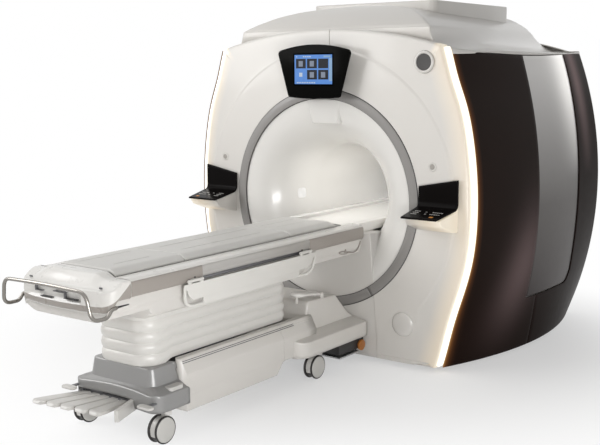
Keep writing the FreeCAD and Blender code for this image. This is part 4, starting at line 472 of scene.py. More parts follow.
def front_cover(side, seam):
    """A grid from the ring's circle, over the raised disc's edge, to the outline, and round
    its edge back to the rim, with the painted glow of the light strip at its points. Columns run outwards."""
    full = np.concatenate([half_outline, (half_outline * (-1, 1))[::-1][1:30]])
    foot = BAY[0][0] + 0.002
    keep = (full[:, 0] > seam + 0.002) | (full[:, 1] < 0.1)
    keep &= (full[:, 0] > foot) | (full[:, 1] > 0.1)
    brow = np.interp(-(seam + 0.002), -full[60:, 0], full[60:, 1])
    outline = np.concatenate([[[foot, 0.03]], full[keep], [[seam + 0.002, brow]]])
    turn = np.unwrap(np.arctan2(outline[:, 1] - AXIS, outline[:, 0]))

    def circle(radius):
        """The outline's bearings, spread so that both ends lie on the bay's line and the seam."""
        z = np.linspace(0, 0.9, 2000)
        x = foot + (BAY[1][0] - BAY[0][0]) / (BAY[1][1] - BAY[0][1]) * (z - BAY[0][1])
        low = np.argmin(np.abs(np.hypot(x, z - AXIS) - radius))
        first = math.atan2(z[low] - AXIS, x[low])
        last = math.acos((seam + 0.002) / radius)
        t = first + (turn - turn[0]) / (turn[-1] - turn[0]) * (last - first)
        return np.stack([radius * np.cos(t), AXIS + radius * np.sin(t)], axis=1)

    edge = 0.024
    inset = outward(outline) * edge
    ring, low_step, high_step = circle(0.7), circle(0.984), circle(1.006)
    high_step = np.where((outline[:, 1] < 0.2)[:, None], np.minimum(high_step, outline), high_step)
    rows = [(ring + (low_step - ring) * t, -0.006) for t in np.linspace(0, 1, 12)]
    rows += [(low_step + (high_step - low_step) * t, -0.006 + 0.006 * smooth(t))
             for t in np.linspace(0, 1, 7)[1:]]
    rows += [(high_step + (outline - inset - high_step) * t, 0) for t in np.linspace(0, 1, 9)[1:]]
    rows += [(outline - inset * (1 - math.sin(t)), edge * (1 - math.cos(t)))
             for t in np.linspace(0, math.pi / 2, 8)[1:]]
    rows += [(outline, edge + t * (RIM - FACE - edge)) for t in np.linspace(0, 1, 4)[1:]]
    flat = np.stack([places for places, _ in rows], axis=1)
    away = np.linalg.norm(flat - outline[:, None, :], axis=2)
    # Painted glow: emission near the edge that stands in for the light strip's light falling on the cover.
    near = np.interp(away, *PAINTED_GLOW_REACH[side]) * np.clip((outline[:, :1] - 0.82) / 0.03, 0, 1)
    return grid_of(side * flat[..., 0], FACE + np.array([deep for _, deep in rows]), flat[..., 1]), near


def marked(made, name, values):
    """Stores one number for each point of a piece, for its material to read."""
    field = made.data.attributes.new(name, "FLOAT", "POINT")
    field.data.foreach_set("value", np.asarray(values, np.float32).ravel())
    return made


def shader_of(material, kind="BSDF_PRINCIPLED"):
    """A finish's node tree and its one node of a kind."""
    tree = material.node_tree
    return tree, next(one for one in tree.nodes if one.type == kind)


def ramp(tree, value, stops):
    """A colour that runs through stops of (place, colour) along a value."""
    tones = node(tree, "ValToRGB", {"Fac": value})
    elements = tones.color_ramp.elements
    while len(elements) < len(stops):
        elements.new(0.5)
    for element, (at, color) in zip(elements, stops):
        element.position = at
        element.color = (*color, 1)
    return tones.outputs["Color"]


def mark_of(tree, name):
    """The value stored on a piece under a name."""
    return node(tree, "Attribute", attribute_name=name).outputs["Fac"]


def blended(tree, factor, a, b):
    """A colour between two colours or outputs."""
    return node(tree, "Mix", {"Factor": factor, "A": a, "B": b}, data_type="RGBA").outputs["Result"]


def painted_strip_glow(material, stops):
    """Paints a glow onto a finish as emission where its "glow" is high: painted light standing in for the light
    that a lit strip casts on it.
    """
    tree, shader = shader_of(material)
    tree.links.new(ramp(tree, mark_of(tree, "glow"), stops), shader.inputs["Emission Color"])
    shader.inputs["Emission Strength"].default_value = 1
    return material


# The cream cover finish with the strip's painted glow added as emission.
cover_lit = finish("cover_lit", "cover_white", (0.6, 0.578, 0.545), 0.34, drift=0.035, **gel_coat)
painted_strip_glow(cover_lit, ((0, (0, 0, 0)), (0.35, (0.17, 0.105, 0.018)), (0.8, (0.5, 0.45, 0.34)),
                    (1, (1, 0.97, 0.9))))
for side, word in SIDES:
    grid, near = front_cover(side, side * COVER_SEAM)
    made = piece(f"front_cover_{word}_skin", grid, cover_lit, around=False, flip=side < 0)
    walled(marked(made, "glow", near), 0.008, 0.0025)


def disc(name, x, z, profile, material, steps=48):
    """A round piece on the front face: a profile of (radius, height before the face), from its
    rim's back to its middle, turned about its own axis."""
    t = np.linspace(0, 2 * math.pi, steps, endpoint=False)
    r, out = np.asarray(profile[::-1], float).T[..., None]
    return piece(name, grid_of(x + r * np.cos(t), FACE - out, z + r * np.sin(t)), material)


cap_gloss = finish("cap_gloss", "cover_white", (0.58, 0.56, 0.53), 0.12, coat=0.5, drift=0.02)
badge_grey = finish("badge_grey", "cover_dark", (0.085, 0.082, 0.08), 0.35, drift=0.1, gloss=0.1)
sensor_grey = finish("sensor_grey", "ring_grey", (0.33, 0.31, 0.28), 0.4, drift=0.1)
disc("service_cap", 0.628, 0.29, [(0, 0.0235), (0.03, 0.023), (0.06, 0.0195), (0.074, 0.0145), (0.079, 0.009),
                                  (0.08, -0.002), (0.01, -0.002)], cap_gloss)
disc("service_cap_groove", 0.628, 0.29, [(0.0795, 0.003), (0.0845, 0.003), (0.0845, -0.002), (0.0795, -0.002)],
     badge_grey)
disc("badge_bezel", 0.764, 1.972, [(0.0525, 0.0105), (0.056, 0.0145), (0.062, 0.015), (0.068, 0.011),
                                   (0.0715, 0), (0.052, 0)], cap_gloss)
disc("badge_plate", 0.764, 1.972, [(0, 0.0085), (0.045, 0.0085), (0.051, 0.0095), (0.052, 0.007), (0.052, 0),
                                   (0.01, 0)], badge_grey)
for x, z, word in ((-0.862, 1.315, "left"), (0.833, 1.326, "right")):
    disc(f"sensor_ring_{word}", x, z, [(0.0175, 0.0095), (0.019, 0.011), (0.024, 0.011), (0.027, 0.009),
                                       (0.028, 0.005), (0.0175, 0.005)], cover_cream, 32)
    disc(f"sensor_eye_{word}", x, z, [(0, 0.0085), (0.009, 0.009), (0.0165, 0.0095), (0.017, 0.006),
                                      (0.004, 0.005)], sensor_grey, 32)

# ------------------------------------------------------------------ trim ring
# A painted ring in three lengths covers the joint of funnel and front covers. It lies on a
# thin black gasket.

ring_paint = finish("ring_paint", "ring_grey", (0.225, 0.215, 0.205), 0.36, coat=0.15, drift=0.05,
                    grain=(500, 0.04))
gasket_black = finish("gasket_black", "ring_grey", (0.012, 0.011, 0.011), 0.55, drift=0.2)
section = [(r, FACE + y) for r, y in (
    (0.671, -0.002), (0.671, -0.01), (0.6722, -0.0128), (0.675, -0.014), (0.729, -0.014), (0.7318, -0.0128),
    (0.733, -0.01), (0.733, -0.006))]
low_seam, gap = math.atan2(0.43 - AXIS, 0.406), 0.0025 / 0.7
cuts = [math.pi / 2, math.pi - low_seam, 2 * math.pi + low_seam, 2.5 * math.pi]
lengths = [turned_about_bore(section, 80, first + gap, last - gap, False)
           for first, last in zip(cuts, cuts[1:])]
walled(piece("trim_ring_skin", lengths, ring_paint, around=False), 0.003)
gasket = [(0.668, FACE - 0.003), (0.668, FACE - 0.0065), (0.7365, FACE - 0.0085), (0.7375, FACE - 0.004)]
piece("ring_gasket", swap(turned_about_bore(gasket))[::-1], gasket_black)

# ------------------------------------------------------------------ light strips
# An edge-lit acrylic strip runs up each side between the front cover and the dark side
# cover: white at its core, amber where it dims towards the dark cover.

light_white, tree = blank("light_glow")
slot_of[light_white.name] = "light"
tones = ramp(tree, mark_of(tree, "fade"), (
    (0, (1, 0.93, 0.8)), (0.35, (1, 0.97, 0.9)), (0.62, (0.98, 0.8, 0.5)), (0.76, (0.24, 0.11, 0.03)),
    (1, (0.035, 0.016, 0.008))))
shine = node(tree, "Emission", {"Color": tones, "Strength": 1.35})
node(tree, "OutputMaterial", {"Surface": shine.outputs[0]})
side_line = arc((0.872, 0.03), (1.085, 1.13), (0.88, 2.075), 120)
side_line[:, 0] -= draw_in(side_line[:, 1])
side_line = side_line[(side_line[:, 1] > 0.034) & (side_line[:, 1] < 2.07)]
# Distance out from the cover's edge, and depth behind the strip's face.
out_n, deep = np.array([
    (0.0005, 0.057), (0.0005, 0.006), (0.002, 0.0015), (0.005, 0), (0.01, -0.0005), (0.015, 0),
    (0.018, 0.0015), (0.0195, 0.006), (0.0197, 0.02), (0.0199, 0.036), (0.02, 0.044), (0.02, 0.051),
    (0.02, 0.057)]).T
flat = side_line[:, None, :] + outward(side_line)[:, None, :] * out_n[None, :, None]
FADES = {1: np.maximum(0.72 * np.clip((deep - 0.044) / 0.013, 0, 1), 0.3 * (out_n > 0.004)),
         -1: np.clip(0.74 + 0.26 * out_n / 0.02, 0, 1)}
for side, word in SIDES:
    grid = grid_of(side * flat[..., 0], FRONT + 0.032 + deep, flat[..., 1])
    made = piece(f"light_strip_{word}_skin", grid, light_white, around=False, flip=side < 0)
    marked(made, "fade", np.broadcast_to(FADES[side], flat.shape[:2]))

# ------------------------------------------------------------------ side covers and inserts
# Large dark covers of painted glass fibre, front and rear, with a brushed silver insert
# between them that leans forwards towards the floor.


def lacquer():
    """A dark metallic lacquer: fine flakes lift its colour here and there."""
    material = finish("espresso_lacquer", "cover_dark", (0.012, 0.006, 0.0042), 0.36, drift=0.25,
                      grain=(1400, 0.03), smudge=0.08, gloss=0.018)
    tree, shader = shader_of(material)
    place = node(tree, "TexCoord").outputs["Object"]
    flakes = node(tree, "TexVoronoi", {"Vector": place, "Scale": 420}).outputs["Distance"]
    sparkle = node(tree, "MapRange", {"Value": flakes, "From Min": 0.12, "From Max": 0, "To Max": 0.3})
    below = shader.inputs["Base Color"].links[0].from_socket
    flaked = blended(tree, sparkle.outputs["Result"], below, (0.03, 0.019, 0.016, 1))
    tree.links.new(flaked, shader.inputs["Base Color"])
    return material


def silver_with_painted_shade():
    """A silver lacquer with painted shade and reflection: its colour darkens from the eave to the insert's
    foot, standing in for a dark floor mirrored below and light above.
    """
    material = finish("insert_silver", "insert_silver", (0.3, 0.3, 0.3), 0.34, metallic=0.9, drift=0.05,
                      grain=(700, 0.04), smudge=0.05, gloss=0.15)
    tree, skin = shader_of(material, "GROUP")
    parts = node(tree, "SeparateXYZ", {"Vector": node(tree, "TexCoord").outputs["Object"]})
    half_height = reckon(tree, "MULTIPLY", parts.outputs["Z"], 0.5)
    # Painted shade: the colour runs from dark at the foot to pale at the eave.
    stops = ((0.19, (0.022, 0.015, 0.014)), (0.5, (0.075, 0.069, 0.065)), (0.95, (0.36, 0.35, 0.34)))
    tree.links.new(ramp(tree, half_height, stops), skin.inputs["Color"])
    return material


def with_painted_sheen(material, color):
    """Lays a painted highlight, a paler colour, over a finish where the piece's own "sheen" value is high."""
    tree, shader = shader_of(material)
    below = shader.inputs["Base Color"].links[0].from_socket
    tree.links.new(blended(tree, mark_of(tree, "sheen"), below, (*color, 1)), shader.inputs["Base Color"])
    return material


# Painted light on the side panels: the dark lacquer glows brown along its front edge beside the light strip and
# takes a painted pinkish sheen; the silver insert takes a painted bright sheen.
espresso = painted_strip_glow(lacquer(), ((0, (0, 0, 0)), (0.5, (0.035, 0.013, 0.004)), (0.8, (0.11, 0.042, 0.012)),
                               (1, (0.3, 0.15, 0.05))))
with_painted_sheen(espresso, (0.28, 0.2, 0.2))
insert_silver = with_painted_sheen(silver_with_painted_shade(), (0.92, 0.9, 0.87))
MIDDLE, END = FRONT + 1.150, FRONT + 2.030
INSERT_FOOT = 0.382
GAP = 0.0022


def side_x(y, z):
    """Half width of the sides: at three stations an arc through foot, belt and eave, and
    between the stations a parabola along y."""
    widths = []
    for foot, belt, top in ((0.892, 1.105, 0.9), (1.09, 1.16, 0.955), (0.935, 1.148, 0.955)):
        x0, z0, radius = circle_through((foot, 0.02), (belt, 1.1), (top - 0.012, 2.092))
        widths.append(x0 + np.sqrt(np.maximum(radius**2 - (z - z0) ** 2, 0)))
    widths[0] = widths[0] - draw_in(z)
    return (
        widths[0] * (y - MIDDLE) * (y - END) / ((RIM - MIDDLE) * (RIM - END))
        + widths[1] * (y - RIM) * (y - END) / ((MIDDLE - RIM) * (MIDDLE - END))
        + widths[2] * (y - RIM) * (y - MIDDLE) / ((END - RIM) * (END - MIDDLE))
    )


def parabola(y, points):
    """The parabola through three points, at y."""
    return np.polyval(np.polyfit(*np.transpose(points), 2), y)


def eave(y):
    """Height of the side covers' upper edge."""
    return parabola(y, ((FRONT, 2.062), (MIDDLE, 2.015), (REAR, 2.048)))


def insert_edge(z, foot, top, bow):
    """An edge of the insert: steep at the eave, swinging forwards towards its foot."""
    t = np.clip((z - INSERT_FOOT) / (2.015 - INSERT_FOOT), -0.3, 1.05)
    return FRONT + foot + (top - foot) * t + bow * np.sin(math.pi * np.clip(t, 0, 1))


def side_panels(side):
    """The side laid out as one grid whose lines follow every seam, then shared out: front
    cover, insert, rear cover. Between two panels one narrow line of cells is left out."""
    part = np.concatenate([np.linspace(0, 1, 16), np.linspace(0, 1, 60)])
    upper = np.arange(76) > 15
    rough = np.where(upper, INSERT_FOOT + part * (2.03 - INSERT_FOOT), 0.02 + part * (INSERT_FOOT - 0.02))
    front_edge = insert_edge(rough, 0.8, 1.0, 0.028)
    rear_edge = insert_edge(rough, 1.515, 1.69, 0.02)
    seam = FRONT + 0.935 + 0.1 * np.clip((rough - INSERT_FOOT) / 1.6, 0, 1)
    spans = (24, 6, 14, 22)
    lines = [(np.full_like(rough, RIM + 0.003), front_edge - GAP), (front_edge + GAP, seam - GAP),
             (seam + GAP, rear_edge - GAP), (rear_edge + GAP, np.full_like(rough, END - 0.003))]
    grid_y, grid_z = [], []
    for number, (count, (start, stop)) in enumerate(zip(spans, lines)):
        u = np.linspace(0, 1, count)[None, :]
        y = start[:, None] + (stop - start)[:, None] * u
        swing = (0, 0, np.clip((u - 0.82) / 0.18, 0, 1) ** 2.4, (1 - np.clip(u / 0.25, 0, 1)) ** 2)[number]
        foot = INSERT_FOOT + 0.075 * swing
        z_low = 0.02 + part[:, None] * (foot - GAP - 0.02)
        z_high = foot + GAP + part[:, None] * (eave(y) - 0.0015 - foot - GAP)
        grid_y.append(y)
        grid_z.append(np.where(upper[:, None], z_high, z_low))
    y, z = np.concatenate(grid_y, axis=1), np.concatenate(grid_z, axis=1)
    points = np.stack([side_x(y, z), y, z], axis=-1).reshape(-1, 3) * (side, 1, 1)
    corners = quads(*y.shape)
    row, column = np.divmod(np.arange(len(corners)), y.shape[1] - 1)
    ends = np.cumsum(spans)
    front = (column < ends[0] - 1) | ((row < 15) & (column < ends[1] - 1))
    insert = (row > 15) & (column >= ends[0]) & (column < ends[2] - 1)
    rear = (column >= ends[2]) | ((row < 15) & (column >= ends[1]))
    for share in (front, insert, rear):
        used, faces = np.unique(corners[share], return_inverse=True)
        yield points[used], faces.reshape(-1, 4)[:, ::side]


for side, word in SIDES:
    labels = (f"side_cover_{word}_front", f"side_insert_{word}", f"side_cover_{word}_rear")
    for (points, faces), label in zip(side_panels(side), labels):
        silver = "insert" in label
        points = points - (side * 0.005 * silver, 0, 0)
        made = solid(f"{label}_skin", points, faces, insert_silver if silver else espresso)
        y, z = points[:, 1] - FRONT, points[:, 2]
        # Painted highlights: on the insert a bright patch high at its rear edge; on the dark covers a pink
        # streak high at the rear cover's front and a broad low patch on the front cover, a painted reflection
        # of the floor.
        rise = 0.95 * np.clip((z - 1.15) / 0.65, 0, 1)
        low_sheen = 0.5 * bell(y - 0.35 * z, 0.5, 0.22) * bell(z, 0.62, 0.36) * (y < 1.3)
        sheen = rise * bell(y, 1.66, 0.2) if silver else np.maximum(low_sheen, rise * bell(y, 1.8, 0.08))
        # Painted glow of the light strip along the dark cover's front edge.
        marked(made, "glow", np.clip(1 - (points[:, 1] - RIM) / 0.07, 0, 1))
        walled(marked(made, "sheen", sheen), 0.008, 0.0025)

# ------------------------------------------------------------------ top cover
# A long moulding that closes the housing above: it rises from the brow to a crown, turns
# hollow towards the eaves and ends at each side in a rounded lip.

TOP_START, TOP_END = RIM + 0.0008, END - 0.0008


def crown_height(x, y):
    """Height at a place: across the bore three arcs (hollow, swell, roof) whose places
    slide along y, cut down by the nose's arc in front and the tail's arc behind."""
    heights = np.empty_like(x)
    for row, share in enumerate((y[:, 0] - TOP_START) / (TOP_END - TOP_START)):
        waist, crown = 0.752 - 0.177 * share, 0.42 - 0.09 * share
        bend, crest = (waist, 2.192), (crown, 2.332)
        line = np.concatenate([
            arc((1.05, 2.064), (waist + 0.03 + 0.055 * min(1, 3 * share), 2.104), bend, 60)[:-1],
            arc(bend, ((waist + crown) / 2 + 0.028, 2.274), crest, 40)[:-1],
            arc(crest, (0, 2.362), (-crown, 2.332), 81)[:41],
        ])
        heights[row] = np.interp(x[row], line[::-1, 0], line[::-1, 1])
    nose = arc((TOP_START, 2.194), (FRONT + 0.25, 2.29), (FRONT + 0.52, 2.367), 60)
    tail = arc((FRONT + 1.8, 2.367), ((FRONT + 1.8 + TOP_END) / 2 + 0.02, 2.3), (TOP_END, 2.2), 60)
    return np.minimum(heights, np.interp(y, *np.concatenate([nose, tail]).T))


def top_cover():
    """Rows along y, columns across: the front wall, then the roof, with both eaves turned down."""
    y = np.concatenate([np.linspace(TOP_START, FRONT + 0.55, 46), np.linspace(FRONT + 0.57, TOP_END, 60)])
    y = y[:, None]
    reach = parabola(y, ((RIM, 0.905), (MIDDLE, 0.96), (END, 0.96)))
    inner = np.sin(np.linspace(-1, 1, 181) * math.pi / 2 * 0.985)[None, :]
    lip = 0.014
    x = inner / inner.max() * (reach - lip)
    z = crown_height(np.abs(x), y)
    edge_z = z[:, :1]
    turn = np.linspace(math.pi / 2, 0, 7)[None, 1:]
    drop = np.linspace(0, 1, 4)[None, 1:]
    side_x = np.concatenate([reach - lip + lip * np.cos(turn), reach - 0.002 * drop], axis=1)
    side_z = np.concatenate([edge_z - lip + lip * np.sin(turn),
                             edge_z - lip + (eave(y) + 0.003 - edge_z + lip) * drop], axis=1)
    x = np.concatenate([-side_x[:, ::-1], x, side_x], axis=1)
    grid = grid_of(x, y, np.concatenate([side_z[:, ::-1], z, side_z], axis=1)).copy()
    ends = []
    for row, way, foot in ((grid[:1], 1, 2.066), (grid[-1:], -1, 2.052)):
        rounded = [row - (0, way * 0.009 * (math.sin(t) - 1), 0.009 * (1 - math.cos(t)))
                   for t in np.linspace(math.pi / 2, 0.25, 5)]
        wall = rounded[0].copy()
        wall[..., 2] = foot
        ends.append([wall] + rounded)
    grid[0, :, 1] += 0.009
    grid[-1, :, 1] -= 0.009
    return np.concatenate(ends[0] + [grid] + ends[1][::-1])


walled(piece("top_cover_skin", top_cover(), cover_cream, around=False), 0.008)

# ------------------------------------------------------------------ turret cover
# The box over the cold head: a deep tray set upside down on the crown, its front corners
# well rounded.


def rounded_plan(corners, radii, steps=8):
    """A closed outline whose corners are arcs: each corner's arc touches both of its sides."""
    points = np.asarray(corners, float)
    line = []
    for here, before, after, radius in zip(points, np.roll(points, 1, 0), np.roll(points, -1, 0), radii):
        if radius <= 0:
            line.append(here[None])
            continue
        back, on = (way / np.linalg.norm(way) for way in (before - here, after - here))
        half = math.acos(float(np.clip(back @ on, -1, 1))) / 2
        reach, middle = radius / math.tan(half), (back + on) / np.linalg.norm(back + on)
        centre = here + middle * radius / math.sin(half)
        first, last = here + back * reach - centre, here + on * reach - centre
        t = np.linspace(0, math.atan2(first[0] * last[1] - first[1] * last[0], float(first @ last)), steps)
        line.append(centre + np.stack([first[0] * np.cos(t) - first[1] * np.sin(t),
                                       first[0] * np.sin(t) + first[1] * np.cos(t)], axis=1))
    return np.concatenate(line)


def oblong(left, right, near, far, radii=0, steps=8):
    """A rectangle with corners rounded by one radius or by four, from the left near corner on."""
    radii = radii if isinstance(radii, list) else [radii] * 4
    return rounded_plan([(left, near), (right, near), (right, far), (left, far)], radii, steps)


block("turret_cover_skin", oblong(-0.51, 0.51, FRONT + 0.6, FRONT + 1.75, 0.06), 2.17, 2.388, "z", cover_cream,
      edge=0.008, segments=4, turn=50)

# ------------------------------------------------------------------ display
# A glossy black display hangs above the bore: a rounded plate on a tapered back, with a
# touch screen let into its face.

display_gloss = finish("display_gloss", "black_gloss", (0.0025, 0.0025, 0.0022), 0.16, drift=0.1,
                       gloss=0.02)
DISPLAY_Y = FRONT - 0.106


def display_line(inset):
    """The display's outline: bowed foot and top, slanting sides, rounded corners."""
    head, foot = 0.295 - inset, 0.207 - inset
    low, high = 1.75 + inset, 2.05 - inset
    bottom = arc((-foot, low), (0, low - 0.0105), (foot, low), 9)
    top = arc((head, high), (0, high + 0.042), (-head, high), 15)
    corners = np.concatenate([bottom, top])
    radii = [0] * len(corners)
    radii[0] = radii[8] = max(0.018 - inset / 2, 0.004)
    radii[9] = radii[23] = max(0.026 - inset / 2, 0.004)
    return rounded_plan(corners, radii, 7)


block("display_plate", display_line(0), DISPLAY_Y, DISPLAY_Y + 0.018, "y", display_gloss, edge=0.005,
      segments=4, turn=50, nodes=["display_housing"])
block("display_back", display_line(0.018), DISPLAY_Y + 0.017, FRONT - 0.058, "y", display_gloss,
      far=display_line(0.07), edge=0.004, turn=50)
neck = oblong(-0.15, 0.15, 1.823, 2.03, 0.02)
block("display_neck", neck, FRONT - 0.06, FACE, "y", display_gloss, edge=0)


def lit(name, color, strength):
    """A screen colour: soft emission that drifts a little over the picture."""
    material, tree = blank(name)
    noise = node(tree, "TexNoise", {"Vector": node(tree, "TexCoord").outputs["Object"], "Scale": 22})
    shade = blended(tree, noise.outputs["Fac"], (*[c * 0.72 for c in color], 1), (*color, 1))
    shader = node(tree, "BsdfPrincipled", {
        "Emission Color": shade, "Emission Strength": strength, "Base Color": (0.01, 0.01, 0.012, 1),
        "Roughness": 0.12, "Specular IOR Level": 0.05})
    node(tree, "OutputMaterial", {"Surface": shader.outputs[0]})
    return material


screen_kinds = [display_gloss, lit("screen_blue", (0.1, 0.26, 0.66), 1.1),
                lit("screen_dark", (0.006, 0.008, 0.014), 0.6),
                lit("screen_light", (0.62, 0.72, 0.85), 0.9), lit("screen_bar", (0.3, 0.48, 0.72), 0.9),
                lit("screen_picture", (0.26, 0.3, 0.38), 0.9)]


def screen_layout():
    """The picture in rows of (left, foot, right, top, colour), in metres from its lower left."""
    rows = [(-0.009, -0.009, 0.311, 0.199, 0), (0, 0, 0.302, 0.19, 1)]
    rows += [(0.278, 0.02, 0.302, 0.168, 4), (0.015, 0.174, 0.022, 0.182, 3),
             (0.235, 0.172, 0.29, 0.184, 4)]
    rows += [(0.07 + 0.017 * n, 0.174, 0.082 + 0.017 * n, 0.181, 3) for n in range(4)]
    rows += [(0.018 + 0.014 * n, 0.005, 0.027 + 0.014 * n, 0.013, 3) for n in range(11)]
    for column in range(3):
        for line in range(2):
            left, foot = 0.012 + 0.09 * column, 0.03 + 0.072 * line
            corner = column == 0 and line == 0
            rows.append((left, foot, left + 0.08, foot + 0.062, 1 if corner else 2))
            if corner:
                rows.append((left + 0.026, foot + 0.018, left + 0.052, foot + 0.044, 3))
            elif (column, line) != (2, 1):
                rows.append((left + 0.022, foot + 0.012, left + 0.056, foot + 0.048, 5))
    return rows


points, faces, kinds = [], [], []
for number, (left, foot, right, top, kind) in enumerate(screen_layout()):
    deep = DISPLAY_Y - 0.0006 - 0.0003 * min(number, 2) - 0.0003 * (kind in (3, 5)) + 0.0006 * (number == 0)
    x0, z0 = -0.151, 1.836
    points += [(x0 + left, deep, z0 + foot), (x0 + right, deep, z0 + foot), (x0 + right, deep, z0 + top),
               (x0 + left, deep, z0 + top)]
    faces.append([4 * number + k for k in range(4)])
    kinds.append(kind)
solid("display_screen_skin", points, faces, screen_kinds, slot="screen", kinds=kinds, smoothed=False)

# ------------------------------------------------------------------ positioning-light housing
# A white moulded housing at the top of the funnel: it narrows downwards and its lower edge
# is well rounded. A small lamp stands on the bore's wall.

foot_plan = oblong(-0.116, 0.116, FRONT + 0.022, FRONT + 0.14, [0.03, 0.03, 0, 0])
head_plan = oblong(-0.149, 0.149, FRONT + 0.001, FRONT + 0.14, [0.03, 0.03, 0, 0])
block("laser_housing_skin", foot_plan, 1.571, 1.735, "z", bore_gloss, slot="cover_white", far=head_plan,
      edge=0.011, segments=5, turn=50)
lamp_lens = lit("lamp_lens", (1, 0.98, 0.94), 1)
t, s = np.meshgrid(np.linspace(0, 2 * math.pi, 48, endpoint=False), np.linspace(1, 0, 8), indexing="xy")
lamp_up, lamp_along = (0.034 * s * np.sign(f) * np.abs(f) ** 0.5 for f in (np.sin(t), np.cos(t)))
lamp_y = FRONT + 0.262 + lamp_along
wall = 0.671 - 0.321 * np.sqrt(1 - ((THROAT - lamp_y) / 0.392) ** 2)
bearing = math.pi + (0.012 - lamp_up) / 0.35
radius = wall - 0.001 - 0.005 * np.sqrt(np.clip(1 - s**2, 0, 1))
grid = grid_of(radius * np.cos(bearing), lamp_y, AXIS + radius * np.sin(bearing))
piece("bore_lamp", grid, lamp_lens, slot="light")

# ------------------------------------------------------------------ consoles
# At each side a glossy black tray, bent from back rest to keypad, lies on a white bracket
# that is bolted through the front cover.

console_black = finish("console_black", "black_gloss", (0.004, 0.0032, 0.003), 0.22, drift=0.15,
                       gloss=0.035)
key_light = finish("key_light", "ring_grey", (0.45, 0.44, 0.42), 0.4, drift=0.1)
key_amber = lit("key_amber", (0.75, 0.3, 0.05), 0.7)
REST = FACE - 0.012
BEND = REST - 0.014
TIP = FRONT - 0.25
TRAY_TOP, KNEE, SHELF, LIP = 1.256, 1.11, 1.0727, 1.038


def tray_plan(depth_y):
    """Inner and outer x of the tray at a place before the front: it narrows outwards."""
    t = np.clip((REST - depth_y) / (REST - TIP), 0, 1)
    return 0.745 + 0.008 * t, 1.026 - 0.026 * t


def tray_grid():
    """The tray's upper face from its top edge down the rest, round the knee and out to the
    lip; rows follow that run, columns go across. Its top edge slopes inwards."""
    rest = np.linspace((BEND - 0.001, 1.24), (BEND - 0.001, 1.115), 8)
    knee = arc((BEND - 0.001, KNEE), (BEND - 0.012, 1.084), (BEND - 0.036, 1.0745), 8)
    shelf = np.linspace((BEND - 0.045, SHELF), (TIP, LIP), 12)
    run = np.concatenate([[(BEND, TRAY_TOP)], rest, knee, shelf])
    u = np.linspace(0, 1, 20)[None, :]
    low, high = tray_plan(run[:, :1])
    x = low + (high - low) * u
    z = run[:, 1:]
    top = TRAY_TOP - 0.052 * (1 - u)
    sloped = KNEE + (z - KNEE) * (top - KNEE) / (TRAY_TOP - KNEE)
    return grid_of(x, run[:, :1], np.where(z > KNEE, sloped, z))


KEYS = [(0.08 + 0.065 * a, 0.3 + 0.15 * b) for a in range(3) for b in range(3)]
KEYS += [(0.44 + 0.05 * a, 0.34 + 0.2 * a) for a in range(2)]
KEYS += [(0.66 + 0.065 * a, 0.34 + 0.2 * b) for a in range(5) for b in range(2)]
for side, word in SIDES:
    grid = tray_grid() * (side, 1, 1)
    made = piece(f"console_{word}_tray_skin", grid, console_black, around=False, flip=side > 0)
    walled(made, 0.012, 0.004, turn=50)
    points, faces, kinds = [], [], []
    for number, (a, b) in enumerate(KEYS + [(0.82, 0.8)]):
        y = BEND - 0.045 + (TIP - BEND + 0.045) * b
        z = SHELF + (LIP - SHELF) * b + 0.0008
        low, high = tray_plan(y)
        x = side * (low + (high - low) * (0.08 + 0.84 * a))
        wide, deep = (0.0058, 0.0038) if number < len(KEYS) else (0.012, 0.009)
        rise = 0.165 * deep
        top = [(x - wide, y - deep, z - rise), (x + wide, y - deep, z - rise),
               (x + wide, y + deep, z + rise), (x - wide, y + deep, z + rise)]
        start = len(points)
        points += top + [(px, py, pz - 0.002) for px, py, pz in top]
        faces += [[start + k for k in (0, 1, 2, 3)]]
        faces += [[start + k for k in (4 + a, 4 + (a + 1) % 4, (a + 1) % 4, a)] for a in range(4)]
        kinds += [0 if number < len(KEYS) else 1] * 5
    solid(f"console_{word}_keys", points, faces, [key_light, key_amber], kinds=kinds)
    profile = rounded_plan(
        [(FACE, 1.19), (REST, 1.19), (REST, 1.066), (BEND - 0.03, 1.058), (TIP + 0.024, 1.027),
         (TIP + 0.06, 0.982), (FACE - 0.055, 0.932), (FACE, 0.926)],
        [0, 0, 0, 0.02, 0.008, 0.03, 0.03, 0],
    )
    made = block(f"console_{word}_bracket_skin", profile, side * 0.762, side * 1.012, "x", cover_lit,
                 edge=0.009, segments=4, turn=50)
    # Painted glow of the light strip on the bracket's outer side.
    places = np.array([vertex.co.x for vertex in made.data.vertices])
    marked(made, "glow", 0.55 * (side * places > 0.9))

# ------------------------------------------------------------------ chassis and columns
# The table's welded chassis with its docking bar, the three nested lift columns and the
# frame under the table top: painted and ground steel, hardly seen once the covers are on.

column_steel = finish("column_steel", "steel", (0.45, 0.455, 0.46), 0.28, metallic=0.9, drift=0.08,
                      smudge=0.2)
paint((("base_chassis", frame_grey), ("table_frame", frame_grey), ("column_mid", column_steel)))

# ------------------------------------------------------------------ casters
# Four twin-wheel casters: a white moulded hood with a black foot between two wheels, each
# with a pale cap on a black tyre.

caster_cap = finish("caster_cap", "pedal_light", (0.52, 0.51, 0.485), 0.3, coat=0.2, drift=0.05)
tyre_black = finish("tyre_black", "tyre_black", (0.013, 0.011, 0.0105), 0.48, drift=0.3, grain=(700, 0.1))
hood_white = finish("hood_white", "caster_shell", (0.62, 0.605, 0.58), 0.3, coat=0.2, drift=0.04)
WHEEL = 0.075


def on_circle(a, b, radius, turns=np.linspace(0, 2 * math.pi, 32, endpoint=False)):
    """Points on the circle round (a, b), at the given turns."""
    return [(a + radius * math.cos(t), b + radius * math.sin(t)) for t in turns]


